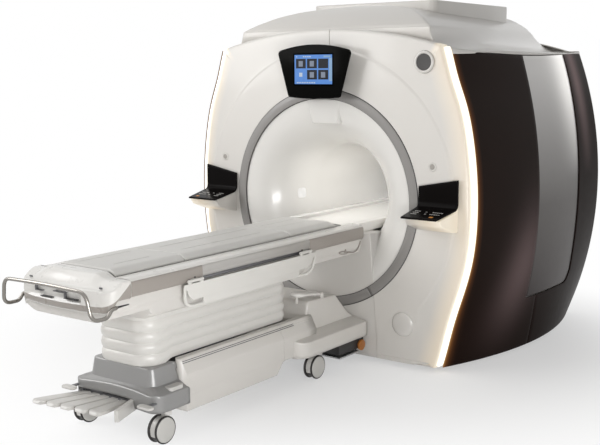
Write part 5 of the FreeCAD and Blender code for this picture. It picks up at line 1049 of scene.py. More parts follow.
def wheel_side(x, sign, y):
    """One wheel as two profiles turned about its axle: the pale cap with a shallow dome and
    the tyre round it. Both profiles are (radius, distance from the hood's middle)."""
    cap = [(0, 0.0368), (0.035, 0.0366), (0.056, 0.036), (0.0645, 0.035), (0.0672, 0.033), (0.0675, 0.03)]
    tyre = [(0.0675, 0.03), (0.068, 0.0322), (0.07, 0.0328), (0.0735, 0.0315),
            (0.075, 0.0285), (0.075, 0.0245), (0.0738, 0.0215), (0.07, 0.0192), (0.062, 0.0188),
            (0.012, 0.0188)]
    t = np.linspace(0, 2 * math.pi, 64, endpoint=False)
    grids = []
    for profile in (cap, tyre):
        r, out = np.asarray(profile).T[:, :, None]
        grid = grid_of(x + sign * out, y + r * np.cos(t), WHEEL + r * np.sin(t))
        grids.append(grid[:, ::-sign])
    return grids


for side, side_word in SIDES[::-1]:
    for place_y, end_word in ((1.832, "foot"), (0.462, "head")):
        word = f"{end_word}_{side_word}"
        x, y = side * 0.286, FRONT - place_y
        axle_y = y - 0.045
        piece(f"wheels_{word}_skin", wheel_side(x, 1, axle_y) + wheel_side(x, -1, axle_y),
              [caster_cap, tyre_black, caster_cap, tyre_black], f"wheels_{word}", slot="tyre_black")
        hood = on_circle(axle_y, WHEEL, 0.069, np.linspace(-0.16, math.pi + 0.45, 40))
        hood += [(axle_y - 0.02, WHEEL - 0.012), (axle_y + 0.022, WHEEL - 0.012)]
        block(f"caster_{word}_hood", hood, x - 0.0178, x + 0.0178, "x", hood_white, f"caster_{word}",
              edge=0.003, turn=50, nodes=[f"caster_{word}"])
        foot = on_circle(axle_y, WHEEL, 0.068, np.linspace(math.pi + 0.46, 2 * math.pi - 0.18, 24))
        foot += [(axle_y + 0.022, WHEEL - 0.013), (axle_y - 0.02, WHEEL - 0.013)]
        block(f"caster_{word}_foot", foot, x - 0.0172, x + 0.0172, "x", tyre_black, f"caster_{word}",
              edge=0.003, turn=50)
        neck = oblong(x - 0.021, x + 0.021, y - 0.03, y + 0.017, 0.008)
        block(f"caster_{word}_neck", neck, 0.14, 0.1665, "z", hood_white, f"caster_{word}", edge=0.003,
              turn=50)
        collar = oblong(x - 0.025, x + 0.025, y - 0.025, y + 0.025, 0.0245)
        block(f"caster_{word}_collar", collar, 0.1665, 0.1745, "z", frame_grey, f"caster_{word}",
              edge=0.001)

# ------------------------------------------------------------------ base shroud
# A long moulded trough over the chassis: its sides lean in above a bright crease, and two
# fine grooves run along its top edge where the bellows seat.

table_white = finish("table_white", "table_white", (0.62, 0.598, 0.565), 0.32, coat=0.25, drift=0.03,
                     grain=(420, 0.05))


def carried(name, line, stations, material, body, shape=None, edge=0, turn=35, **rest):
    """A closed (x, z) line carried along y through the stations, with both ends closed; shape
    may move the points at each station."""
    x, z = np.asarray(line, float).T
    if (x * np.roll(z, -1) - z * np.roll(x, -1)).sum() < 0:
        x, z = x[::-1], z[::-1]
    grid = grid_of(x, np.sort(stations)[::-1, None], z).copy()
    if shape:
        grid = shape(grid)
    return eased(capped(name, grid, material, body, **rest), edge, turn)


def capped(name, grid, material, body, **rest):
    """A piece from a grid whose columns close, with a face over its first and its last row."""
    rows, count = grid.shape[:2]
    here = np.arange(count)
    faces = quads(rows, count, around=True).tolist()
    faces += [here[::-1].tolist(), ((rows - 1) * count + here).tolist()]
    return solid(name, grid.reshape(-1, 3), faces, material, body, **rest)


def mirrored(half):
    """A right half line, from the bottom up to the middle, and its mirror down again."""
    half = np.asarray(half, float)
    return np.concatenate([half, (half * (-1, 1))[::-1]])


SHROUD_SIDE = [
    (0.292, 0.118), (0.2965, 0.1185), (0.2995, 0.122), (0.3, 0.128), (0.3, 0.196), (0.2992, 0.203),
    (0.2978, 0.209), (0.2978, 0.213), (0.299, 0.219), (0.299, 0.3), (0.2999, 0.312), (0.3003, 0.319),
    (0.2992, 0.326), (0.296, 0.332), (0.2715, 0.378), (0.27, 0.38), (0.2712, 0.3826), (0.2704, 0.3846),
    (0.2675, 0.387), (0.266, 0.3885), (0.2664, 0.3905), (0.264, 0.3935), (0.259, 0.4015), (0.2565, 0.404),
    (0.253, 0.405), (0.236, 0.405), (0.2345, 0.4025), (0.2285, 0.4025), (0.227, 0.405), (0.219, 0.405),
    (0.216, 0.2), (0, 0.2),
]


def shroud_shape(grid):
    """The lower edge rises towards the dock cover's skirt at the head end."""
    head = np.clip((grid[..., 1] - (FRONT - 0.905)) / 0.06, 0, 1)
    low = grid[..., 2] < 0.19
    grid[..., 2] = np.where(low, grid[..., 2] + head * (0.19 - grid[..., 2]) * 0.999, grid[..., 2])
    return grid


stations = FRONT - np.concatenate([[0.8325], np.linspace(0.836, 0.915, 12), np.linspace(0.95, 1.686, 14),
                                   [1.6905]])
for side, word in SIDES:
    for number, (x, z) in enumerate(((0.2722, 0.38), (0.2668, 0.3885))):
        seal = [(side * (x + a), z + b) for a, b in (
            (-0.003, -0.0016), (0.0006, -0.0016), (0.0004, 0.0022), (-0.003, 0.0022))]
        carried(f"shroud_seal_{word}_{number}", seal, [FRONT - 0.7, FRONT - 1.69], frame_grey, "table_base")
carried("base_shroud_skin", mirrored(SHROUD_SIDE), stations, table_white, "table_base", shape=shroud_shape)

# ------------------------------------------------------------------ foot cap
# A grey moulding over the foot end of the chassis: a low step with a bowed front and a
# taller block whose corners are well rounded. An oblong plate of light plastic is let in.

cap_grey = finish("cap_grey", "cap_grey", (0.265, 0.262, 0.258), 0.33, metallic=0.25, coat=0.15, drift=0.04,
                  grain=(520, 0.06))


def along_plan(plan, step=0.02):
    """The same closed plan with points added, so that no side is longer than a step."""
    pieces = []
    for a, b in zip(plan, np.roll(plan, -1, 0)):
        count = max(1, int(math.ceil(np.linalg.norm(b - a) / step)))
        pieces.append(a + (b - a) * np.linspace(0, 1, count, endpoint=False)[:, None])
    return np.concatenate(pieces)


def plan_normal(plan):
    """Outward unit normals of a closed plan that runs round against the clock."""
    return outward(np.concatenate([plan[-3:], plan, plan[:3]]))[3:-3]


def hooded(plan, low, top, edge, lean=0, spine=0.1, rise=5):
    """A cover seen from above: its wall goes up from low to the top, turns over a rounded
    edge and closes towards a spine along the middle. Top is a function of (x, y); lean is
    how far the wall comes in over its height. Rows go up, columns round."""
    normal = plan_normal(plan)
    shrunk = plan - normal * (edge + lean)
    ends = sorted((plan[:, 1].min() + spine, plan[:, 1].max() - spine))
    middle = np.stack([np.zeros(len(plan)), np.clip(plan[:, 1], *ends)], axis=1)
    top_z = top(*shrunk.T)
    rows = [(plan - normal * lean * t, low + (top_z - edge - low) * t) for t in np.linspace(0, 1, rise)]
    rows += [(plan - normal * (lean + edge * (1 - math.cos(t))), top_z - edge + edge * math.sin(t))
             for t in np.linspace(0, math.pi / 2, 6)[1:]]
    within = [shrunk + (middle - shrunk) * t for t in np.linspace(0, 1, 9)[1:]]
    rows += [(at, top(*at.T)) for at in within]
    return np.stack([np.column_stack(row) for row in rows])


low_plan = along_plan(oblong(-0.322, 0.322, FRONT - 1.94, FRONT - 1.6915, [0.06, 0.06, 0, 0]))
at_front = low_plan[:, 1] < FRONT - 1.93
in_mouth = at_front & (low_plan[:, 0] > -0.298) & (low_plan[:, 0] < 0.145)
low_edge = np.where(in_mouth, 0.216, 0.172)
waist = 0.016 * (1 - np.clip(np.abs(low_plan[:, 0]) / 0.25, 0, 1) ** 2) * (low_plan[:, 1] < FRONT - 1.9)
low_plan[:, 1] += waist


def step_top(x, y):
    """The step's top: it climbs from the edge to the block's foot."""
    near = np.minimum((0.322 - np.abs(x)) / 0.07, (y - (FRONT - 1.94)) / 0.05)
    return 0.262 + 0.032 * np.clip(near, 0, 1) ** 1.3


made = piece("foot_cap_step", hooded(low_plan, low_edge, step_top, 0.011), cap_grey, "table_base",
             nodes=["foot_cap"])
walled(made, 0.007)
high_plan = along_plan(oblong(-0.252, 0.252, FRONT - 1.905, FRONT - 1.6915, [0.055, 0.055, 0, 0]))
high_grid = hooded(high_plan, 0.25, lambda x, y: 0.386 + 0 * x, 0.01, lean=0.024, rise=9)
walled(piece("foot_cap_block", high_grid, cap_grey, "table_base"), 0.007)
plate = oblong(0.256, 0.31, FRONT - 1.825, FRONT - 1.722, 0.018)
block("foot_cap_plate", plate, 0.265, 0.286, "z", caster_cap, "table_base", edge=0.001)

# ------------------------------------------------------------------ pedals and brake bar
# Five foot pedals of pale moulded plastic fan out over a shaft, each a tongue with turned
# down sides. The brake bar carries a rounded paddle at each side.

pedal_pale = finish("pedal_pale", "pedal_light", (0.56, 0.545, 0.52), 0.34, coat=0.15, drift=0.05,
                    grain=(600, 0.08))
SHAFT_Y, SHAFT_Z = FRONT - 1.906, 0.19


def pedal_surface(index):
    """A tongue over the shaft and out to its tip: across, a flat crown with rounded turned
    down sides; along, it widens and its tip is round. Rows go along, columns across."""
    root_x, tip_x = 0.072 * index - 0.095, 0.096 * index - 0.095 - 0.016
    tip_y = FRONT - (2.222 - 0.014 * (index + 2))
    v = np.linspace(0, 1, 40)[:, None]
    length = SHAFT_Y - tip_y
    y = SHAFT_Y + 0.004 - (length + 0.004) * v
    middle = root_x + (tip_x - root_x) * v
    half = 0.023 + (0.042 - 0.023) * np.clip(v / 0.75, 0, 1)
    cap = np.clip((v - 0.9) / 0.1, 0, 1)
    half = half * np.sqrt(np.clip(1 - 0.86 * cap**2, 0, 1))
    u = np.array([-1, -1, -1, -0.97, -0.9, -0.8, -0.5, 0, 0.5, 0.8, 0.9, 0.97, 1, 1, 1])[None, :]
    drop = np.array([-0.019, -0.012, -0.006, -0.0022, -0.0006, 0, 0.0006, 0.0008])
    drop = np.concatenate([drop, drop[:-1][::-1]])[None, :]
    z = SHAFT_Z + 0.0035 + 0.06 * (SHAFT_Y - y) + drop * (1 - 0.55 * (1 - np.clip(v / 0.2, 0, 1)))
    z = z[:, :1] + (z - 0.006 * cap**2 - z[:, :1]) * (1 - cap**6)
    return grid_of(middle + half * u, y, z)


for index, word in zip(range(-2, 3), ("one", "two", "three", "four", "five")):
    made = piece(f"pedal_{word}_skin", pedal_surface(index)[::-1], pedal_pale, f"pedal_{word}",
                 around=False)
    walled(made, 0.0045, 0.001)
block("pedal_guard_wall", [(0.0945, FRONT - 1.879), (0.1745, FRONT - 2.1035), (0.194, FRONT - 2.093),
                           (0.118, FRONT - 1.879)], 0.153, 0.218, "z", pedal_pale, "table_base", edge=0.003)
shaft_y, shaft_z, tip_y = FRONT - 1.868, 0.236, FRONT - 2.018
for side, word in SIDES[::-1]:
    x = side * 0.292
    paddle = oblong(x - 0.05, x + 0.05, tip_y, tip_y + 0.046, 0.021)
    block(f"brake_paddle_{word}", paddle, shaft_z - 0.017, shaft_z - 0.003, "z", pedal_pale, "brake_bar",
          edge=0.005, segments=4, turn=50, nodes=["brake_bar"] if side < 0 else ())
    arm = oblong(x - 0.012, x + 0.012, tip_y + 0.03, shaft_y + 0.008)
    block(f"brake_arm_{word}", arm, shaft_z - 0.014, shaft_z - 0.005, "z", frame_grey, "brake_bar",
          edge=0.002)

# ------------------------------------------------------------------ dock cover
# The cover over the table's head end: a neck that carries on the shroud's line, a wide
# skirt with a big rounded corner and a tower that hides the dock drive.

neck_line = mirrored([(0.292, 0.19), (0.2965, 0.1905), (0.2995, 0.194)] + SHROUD_SIDE[7:])
carried("dock_cover_neck", neck_line, [FRONT - 0.8275, FRONT - 0.826, FRONT - 0.6, FRONT - 0.5],
        table_white, "table_base")
skirt_plan = along_plan(oblong(-0.362, 0.362, FRONT - 0.735, FRONT - 0.008, [0.085, 0.085, 0, 0]), 0.03)


def skirt_top(x, y):
    """The skirt's top: level at its edge and swelling softly towards the tower's foot."""
    return 0.277 + 0.022 * smooth((0.362 - np.abs(x)) / 0.11)


made = piece("dock_cover_skirt", hooded(skirt_plan, 0.18, skirt_top, 0.01, spine=0.3), table_white,
             "table_base", nodes=["dock_cover"])
walled(made, 0.007)


def tower_surface():
    """The tower's roof line, from its foot over the top to its head, carried across; its
    flanks lean in towards the top. Rows go along the line, columns across and down."""
    points = [(0.6, 0.3), (0.6, 0.385), (0.505, 0.4), (0.495, 0.482), (0.18, 0.47), (0.06, 0.33),
              (0.008, 0.3)]
    roof = rounded_plan([(FRONT - reach, z) for reach, z in points], [0, 0.01, 0.055, 0.03, 0.03, 0.04, 0])
    line = np.concatenate([[(FRONT - 0.6, 0.262), (FRONT - 0.6, 0.33)], roof[1:], [(FRONT - 0.008, 0.262)]])
    half = 0.25 - 0.024 * np.clip((line[:, 1:] - 0.262) / 0.206, 0, 1)
    edge = 0.012
    flat = grid_of(np.linspace(-1, 1, 27) * (half - edge), line[:, :1], line[:, 1:])
    inward = (FRONT - 0.284, 0.262) - line
    inward = edge * inward / np.linalg.norm(inward, axis=1, keepdims=True)
    sides = [np.column_stack([half - edge + edge * math.sin(t), line + inward * (1 - math.cos(t))])
             for t in np.linspace(0, math.pi / 2, 6)[1:]]
    low = np.column_stack([np.clip(line[:, 0], FRONT - 0.5, FRONT - 0.07), np.full(len(line), 0.262)])
    sides += [np.column_stack([half + (0.25 - half) * t, line + inward + (low - line - inward) * t])
              for t in (0.25, 0.5, 0.75, 1)]
    right = np.stack(sides, axis=1)
    return np.concatenate([(right * (-1, 1, 1))[:, ::-1], flat, right], axis=1)


made = piece("dock_cover_tower", tower_surface(), table_white, "table_base", around=False)
walled(made, 0.006)

# ------------------------------------------------------------------ release lever
# A white wing on a pin between two ears of the dock cover, with a small knob below it.

lever_y, lever_z, lever_x = FRONT - 0.322, 0.496, 0.188


def wing():
    """The lever's blade: along it an arched line, across it a flat oval that narrows from
    the grip to the hub."""
    v = np.linspace(0, 1, 36)[:, None]
    t = np.linspace(0, 2 * math.pi, 32, endpoint=False)[None, :]
    half = 0.026 + 0.026 * np.clip(v / 0.8, 0, 1) ** 1.2
    half = half * np.sqrt(1 - np.clip((v - 0.86) / 0.14, 0, 1) ** 2)
    thick = (0.011 + 0.007 * v) * np.sqrt(1 - np.clip((v - 0.9) / 0.1, 0, 1) ** 2)
    z = lever_z + 0.001 + 0.04 * np.sin(1.35 * v) + thick * np.sin(t)
    return grid_of(lever_x + half * np.cos(t), lever_y - 0.268 * v, z)


lever_white = finish("lever_white", "table_white", (0.8, 0.785, 0.755), 0.25, coat=0.35, drift=0.02)
piece("release_lever_wing", wing(), lever_white, "release_lever", nodes=["release_lever"])
hub = on_circle(lever_y, lever_z, 0.014)
block("release_lever_hub", hub, lever_x - 0.02, lever_x + 0.02, "x", table_white, "release_lever",
      edge=0.002, turn=50)
knob = oblong(lever_x + 0.004, lever_x + 0.022, lever_y - 0.26, lever_y - 0.246, 0.006)
block("release_lever_knob", knob, lever_z - 0.014, lever_z + 0.034, "z", table_white, "release_lever",
      edge=0.004, turn=50)
for start in (lever_x - 0.0325, lever_x + 0.0205):
    ear = oblong(lever_y - 0.016, lever_y + 0.016, 0.464, 0.511, [0, 0, 0.0155, 0.0155], 10)
    block(f"lever_ear_{'inner' if start < lever_x else 'outer'}", ear, start, start + 0.012, "x",
          table_white, "table_base", edge=0.002, turn=50)

# ------------------------------------------------------------------ docking gear
# Under the skirt a black drive box stands over a steel slide plate; an amber nylon roller
# guides the table into the magnet's mouth.

roller_amber = finish("roller_amber", "caster_shell", (0.36, 0.13, 0.025), 0.4, drift=0.1)
for side, word in SIDES[::-1]:
    plan = oblong(side * 0.205, side * 0.335, FRONT - 0.3, FRONT - 0.014)
    block(f"dock_drive_box_{word}", plan, 0.1, 0.186, "z", socket_black, "table_base", edge=0.002)
    plan = oblong(side * 0.18, side * 0.352, FRONT - 0.312, FRONT - 0.09)
    block(f"dock_slide_plate_{word}", plan, 0.082, 0.092, "z", column_steel, "table_base", edge=0.002)
    roller = on_circle(FRONT - 0.052, 0.12, 0.036)
    block(f"dock_roller_{word}", roller, side * 0.336, side * 0.352, "x", roller_amber, "table_base",
          edge=0.002)

# ------------------------------------------------------------------ bellows
# A translucent vinyl bellows hides the columns: soft folds run round it, a little uneven,
# clamped at the shroud and at the belly shell.

bellows_vinyl = finish("bellows_vinyl", "bellows_rubber", (0.64, 0.625, 0.595), 0.3, coat=0.15, drift=0.05,
                       grain=(300, 0.04))
plan = along_plan(oblong(-0.202, 0.202, FRONT - 1.89, FRONT - 0.64, 0.111, 14), 0.018)
normal = plan_normal(plan)
v = np.linspace(0, 1, 120)[:, None]
along = np.cumsum(np.linalg.norm(np.roll(plan, -1, 0) - plan, axis=1))[None, :]
sag = 0.025 * np.sin(along * 3.1 + 1) * np.sin(math.pi * v) ** 2
FOLDS = 4.5
fold = np.abs(np.sin(math.pi * (v * FOLDS + sag)))
fold = 0.011 * (fold**0.75 - 0.62) * np.sin(math.pi * np.clip(v, 0.02, 0.98)) ** 0.25
creases = 0.0012 * np.sin(along * 46 + 9 * v) * np.sin(along * 17.3 - 4 * v) * np.sin(math.pi * v)
xy = plan + (fold + creases)[..., None] * normal
foot_low = 0.4052 - 0.0185 * np.clip((FRONT - 1.7 - plan[:, 1]) / 0.04, 0, 1)[None, :]
z = foot_low + (0.6648 - foot_low) * v
bellows = piece("bellows_skin", grid_of(xy[..., 0], xy[..., 1], z), bellows_vinyl, "table_base")
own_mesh(bellows)

# ------------------------------------------------------------------ belly shell
# The white moulded shell under the table top. It is deepest over the bellows and shallower
# at both ends; black slots at its foot end let the push handle slide in.

slot_black = finish("slot_black", "black_gloss", (0.012, 0.011, 0.011), 0.45, drift=0.2, grain=(500, 0.1))
BELLY_SIDE = [(0, 0), (0.18, 0), (0.228, 0.004), (0.25, 0.016), (0.268, 0.034), (0.2985, 0.066)]
BELLY_FLANK = [(0.3, 0.705), (0.3105, 0.74), (0.3165, 0.761), (0.319, 0.77), (0.3176, 0.7725),
               (0.3186, 0.776), (0.32, 0.79), (0.32, 0.8225), (0.318, 0.829), (0, 0.829)]


def belly_shape(grid):
    """Lifts the floor towards both ends: the lower points ride on a base line that is deepest
    over the bellows; the lowest third of the flank follows it."""
    reach = FRONT - grid[..., 1]
    base = 0.665 + 0.047 * smooth((reach - 1.915) / 0.06) + 0.05 * smooth((0.65 - reach) / 0.06)
    low = grid[..., 2] < 0.1
    knee = np.maximum(0.705, base + 0.03)
    lifted = base + grid[..., 2] * (knee - base) / 0.066
    flank = grid[..., 2] + (knee - 0.705) * np.clip((0.74 - grid[..., 2]) / 0.035, 0, 1)
    grid[..., 2] = np.where(low, lifted, flank)
    return grid


belly = mirrored(BELLY_SIDE + BELLY_FLANK)
runs = ((0.026, 0.026, 1), (0.032, 0.58, 12), (0.59, 0.66, 8), (0.72, 1.9, 14), (1.91, 1.98, 8),
        (2.02, 2.236, 6), (2.243, 2.243, 1))
places = FRONT - np.concatenate([np.linspace(*run) for run in runs])
carried("table_shell_skin", belly, places, table_white, "table_top", shape=belly_shape, edge=0.004, turn=60)
opening = rounded_plan([(FRONT - 2.236, 0.7855), (FRONT - 2.11, 0.7925), (FRONT - 2.11, 0.7985),
                        (FRONT - 2.236, 0.8005)], [0.003] * 4, 6)
for side, word in SIDES[::-1]:
    block(f"handle_slot_{word}", opening, side * 0.3185, side * 0.3206, "x", slot_black, "table_top",
          edge=0)

# ------------------------------------------------------------------ side rails
# Two aluminium rails carry the cradle. A white rounded rail cap runs over a painted side band,
# taupe at both ends and brushed silver between the hinges, above a dark groove.

rail_white = finish("rail_white", "table_white", (0.66, 0.645, 0.615), 0.26, coat=0.35, drift=0.02)
rail_taupe = finish("rail_taupe", "rail_taupe", (0.3, 0.272, 0.245), 0.36, coat=0.1, drift=0.04,
                    grain=(900, 0.08))
rail_silver = finish("rail_silver", "frame_metal", (0.43, 0.415, 0.395), 0.33, metallic=0.45, drift=0.05,
                     grain=(900, 0.06))
RAIL_CAP = [(0.226, 0.8905), (0.226, 0.915), (0.2275, 0.919), (0.232, 0.9212), (0.28, 0.9216),
            (0.305, 0.9208), (0.319, 0.9186), (0.327, 0.915), (0.3315, 0.9108), (0.3318, 0.9088),
            (0.329, 0.908)]
RAIL_BAND = [(0.2262, 0.83), (0.2262, 0.89), (0.329, 0.9078), (0.3322, 0.908), (0.3345, 0.9068),
             (0.338, 0.901), (0.34, 0.89), (0.34, 0.856), (0.3385, 0.843), (0.335, 0.834),
             (0.33, 0.83)]
RAIL_MIDDLE = RAIL_BAND[:6] + [(0.3392, 0.894), (0.338, 0.87), (0.3372, 0.868), (0.338, 0.866),
                               (0.3376, 0.852), (0.3355, 0.85), (0.33, 0.8495), (0.2262, 0.845)]
RAIL_GROOVE = [(0.2262, 0.8302), (0.2262, 0.8448), (0.3292, 0.8494), (0.3292, 0.833), (0.328, 0.8302)]
NEAR_HINGE, FAR_HINGE = FRONT - 1.587, FRONT - 0.619
RAIL_RUNS = [
    # part, section, foot end, head end, finish
    ("cap", RAIL_CAP, FRONT - 2.1098, FRONT - 0.0205, rail_white),
    ("band_foot", RAIL_BAND, FRONT - 2.1098, NEAR_HINGE - 0.0012, rail_taupe),
    ("band_middle", RAIL_MIDDLE, NEAR_HINGE, FAR_HINGE, rail_silver),
    ("groove", RAIL_GROOVE, NEAR_HINGE, FAR_HINGE, frame_grey),
    ("band_head", RAIL_BAND, FAR_HINGE + 0.0012, FRONT - 0.0205, rail_taupe),
    ("ledge", [(0.1955, 0.8802), (0.2258, 0.8802), (0.2258, 0.8978), (0.1975, 0.8978), (0.1955, 0.8965)],
     FRONT - 2.1098, FRONT - 0.0205, frame_grey),
]
for sign, side in SIDES[::-1]:
    for part, section, foot, head, material in RAIL_RUNS:
        carried(f"rail_{side}_{part}", np.asarray(section) * (sign, 1), [foot, head], material, "table_top",
                edge=0.0012 if part != "groove" else 0, turn=50,
                nodes=["side_rails"] if (sign, part) == (1, "cap") else ())
    for place, word in ((1.892, "foot"), (0.37, "head")):
        x, y = sign * 0.287, FRONT - place
        block(f"rail_{side}_stud_{word}", oblong(x - 0.008, x + 0.008, y - 0.012, y + 0.012, 0.0075),
              0.9208, 0.9232, "z", rail_white, "table_top", edge=0.001)
    for place, word in ((1.652, "foot"), (0.7, "head")):
        y = FRONT - place
        gap = oblong(y - 0.0045, y + 0.0045, 0.828, 0.86, 0.002, 3)
        block(f"rail_{side}_gap_{word}", gap, sign * 0.33, sign * 0.3415, "x", slot_black, "table_top",
              edge=0.001)

# ------------------------------------------------------------------ folding side guards
# Each guard is a moulded white panel on two hinges, folded down beside the rail. A rounded
# bar bends round each lower corner and leaves a long hooked slot as a grip.

guard_white = finish("guard_white", "table_white", (0.655, 0.64, 0.605), 0.3, coat=0.3, drift=0.03,
                     grain=(420, 0.05))
GUARD_FOOT, GUARD_HEAD = FRONT - 1.758, FRONT - 0.566


def tube(name, path, half_across, half_thick, reference, material, body, around=20, power=1, **rest):
    """A round or oval section carried along a path. At each point the section's first axis is
    the run crossed with a reference direction, its second axis the first crossed with the run.
    Both ends are closed."""
    run = np.gradient(path, axis=0)
    across = np.cross(run, reference)
    over = np.cross(across, run)
    across, over = (way[:, None] / np.linalg.norm(way, axis=1)[:, None, None] for way in (across, over))
    t = np.linspace(0, 2 * math.pi, around, endpoint=False)[:, None]
    c, s = (np.sign(f) * np.abs(f) ** power for f in (np.cos(t), np.sin(t)))
    grid = np.asarray(path)[:, None] + across * half_across * c + over * half_thick * s
    return eased(capped(name, grid, material, body, **rest), 0.002, 60)


def bent(points, radii, steps=7):
    """A path through points whose corners are rounded, each by its own radius: the arc is a
    quadratic curve from one tangent point to the other."""
    points = np.asarray(points, float)
    line = [points[:1]]
    for before, here, after, radius in zip(points[:-2], points[1:-1], points[2:], radii):
        first = here + (before - here) * min(0.49, radius / np.linalg.norm(before - here))
        last = here + (after - here) * min(0.49, radius / np.linalg.norm(after - here))
        t = np.linspace(0, 1, steps)[:, None]
        line.append((1 - t) ** 2 * first + 2 * t * (1 - t) * here + t**2 * last)
    line.append(points[-1:])
    return np.concatenate(line)


def guard_panel():
    """The panel from the side as (y, z), with both lower corners bitten out for the slots."""
    foot = [(0.152, 0.7015), (0.152, 0.74), (0.07, 0.74), (0.036, 0.77), (0.033, 0.796), (0.0085, 0.796),
            (0.0085, 0.829)]
    head = [(0.185, 0.7015), (0.185, 0.744), (0.1, 0.746), (0.062, 0.766), (0.04, 0.802),
            (0.018, 0.802), (0.006, 0.829)]
    foot = [(GUARD_FOOT + s, z) for s, z in foot]
    head = [(GUARD_HEAD - s, z) for s, z in head]
    return rounded_plan(foot + head[::-1], [0, 0.006, 0.03, 0.02, 0.004, 0.003, 0.008,
                                            0.008, 0.003, 0.004, 0.02, 0.03, 0.006, 0], 6)


for sign, side in SIDES[::-1]:
    body = f"side_guard_{side}"
    block(f"{body}_panel", guard_panel(), sign * 0.3475, sign * 0.357, "x", guard_white, body, edge=0.0028,
          turn=50, nodes=[body])
    x = sign * 0.352
    foot_bar = bent([(x, GUARD_FOOT + 0.015, 0.815), (x, GUARD_FOOT + 0.015, 0.708),
                     (x, GUARD_FOOT + 0.165, 0.708)], [0.072], 14)
    head_bar = bent([(x, GUARD_HEAD - 0.012, 0.82), (x, GUARD_HEAD - 0.052, 0.709),
                     (x, GUARD_HEAD - 0.198, 0.708)], [0.082], 14)
    for word, bar in (("foot", foot_bar), ("head", head_bar)):
        tube(f"{body}_grip_{word}", bar, 0.0088, 0.0068, (1, 0, 0), guard_white, body, power=0.8)
    for place, word in ((1.66, "foot"), (0.68, "head")):
        for start, end, part, owner in (
            (-0.03, 0.03, "knuckle", "table_top"), (-0.058, -0.0305, "barrel_a", body),
            (0.0305, 0.058, "barrel_b", body),
        ):
            ring = on_circle(sign * 0.352, 0.842, 0.0085, np.linspace(0, 2 * math.pi, 28, endpoint=False))
            y = FRONT - place
            block(f"{body}_{word}_{part}", ring, y + start, y + end, "y", guard_white, owner, edge=0.0015,
                  turn=50)
            web = oblong(sign * 0.348, sign * 0.356, 0.824, 0.842)
            arm = [(sign * 0.338, 0.836), (sign * 0.352, 0.834), (sign * 0.352, 0.8505),
                   (sign * 0.338, 0.8505)]
            block(f"{body}_{word}_{part}_arm", arm if part == "knuckle" else web, y + start + 0.001,
                  y + end - 0.001, "y", guard_white, owner, edge=0.001, turn=50)

# ------------------------------------------------------------------ rail latches
# On each side of the shell's head end a cast ring with a short link and a bent rod locks the
# table top to the magnet.

for sign, side in SIDES[::-1]:
    x = sign * 0.3232
    a = np.linspace(0, 2 * math.pi, 25)
    ring = np.stack([x + 0 * a, FRONT - 0.232 + 0.046 * np.cos(a),
                     0.7665 + 0.009 * np.sin(a) - 0.1 * 0.046 * np.cos(a)], axis=1)
    rod = bent([(x, FRONT - 0.19, 0.765), (x, FRONT - 0.11, 0.748), (x, FRONT - 0.06, 0.768),
                (x, FRONT - 0.035, 0.815)], [0.03, 0.03])
    for name, path, thick in (("ring", ring, 0.0032), ("rod", rod, 0.0042)):
        tube(f"rail_{side}_latch_{name}", path, thick, thick, (1, 0, 0), rail_taupe, "table_top", around=12)
    fin = [(FRONT - 0.222, 0.766), (FRONT - 0.196, 0.763), (FRONT - 0.208, 0.788)]
    block(f"rail_{side}_latch_fin", fin, sign * 0.32, sign * 0.3262, "x", rail_taupe, "table_top",
          edge=0.0015)

# ------------------------------------------------------------------ foot-end casting
# The thick white moulding at the table's foot: a lip that rises in a ramp to a hump at the
# cushions' height, a port recess for receive coils, and a taupe band round its lower edge.


def banded(material, name, color, low=0, high=1):
    """Gives a finish a second colour where the piece's own value of a name is high."""
    tree, skin = shader_of(material, "GROUP")
    share = node(tree, "MapRange", {"Value": mark_of(tree, name), "From Min": low, "From Max": high})
    base = skin.inputs["Color"].default_value[:]
    tree.links.new(blended(tree, share.outputs["Result"], base, (*color, 1)), skin.inputs["Color"])
    return material


casting_two = finish("casting_two", "table_white", (0.665, 0.65, 0.62), 0.28, coat=0.3, drift=0.025)
banded(casting_two, "band", (0.3, 0.272, 0.245), -0.0006, 0.0006)
NEAR, FAR_TIP = FRONT - 2.1108, FRONT - 2.29
HALF_WIDTH, CORNER, BOW = 0.34, 0.272, 0.042
front_x = np.sort(np.concatenate([np.linspace(-CORNER, CORNER, 40), [0.157, 0.161, 0.165]]))
front_y = FAR_TIP + BOW * (front_x / HALF_WIDTH) ** 2
turn = np.linspace(0, 1, 16)[1:]
corner_x = CORNER + (HALF_WIDTH - CORNER) * np.sin(turn * math.pi / 2)
corner_y = front_y[-1] + 0.006 * turn + 0.062 * (1 - np.cos(turn * math.pi / 2))
side_y = np.linspace(corner_y[-1], NEAR, 14)[1:]
near_x = np.linspace(HALF_WIDTH, -HALF_WIDTH, 34)[1:-1]
casting_plan = np.concatenate([np.stack([x, y + 0 * x], 1) for x, y in (
    (front_x, front_y), (corner_x, corner_y), (HALF_WIDTH + 0 * side_y, side_y), (near_x, NEAR),
    (-HALF_WIDTH + 0 * side_y, side_y[::-1]), (-corner_x[::-1], corner_y[::-1]))])


def casting_top(x, y):
    """Height of the casting's top: the lip, a ramp over 88 mm, and across it a hump whose
    flanks fall to a shoulder that meets the rail caps."""
    bow = FAR_TIP + BOW * (x / HALF_WIDTH) ** 2
    ramp = smooth((y - bow - 0.008) / 0.088)
    flank = smooth((0.243 - np.abs(x)) / 0.07)
    crest = 0.9215 + 0.0265 * flank
    lip = 0.884 - 0.006 * smooth((np.abs(x) - 0.2) / 0.12)
    return lip + (crest - lip) * ramp


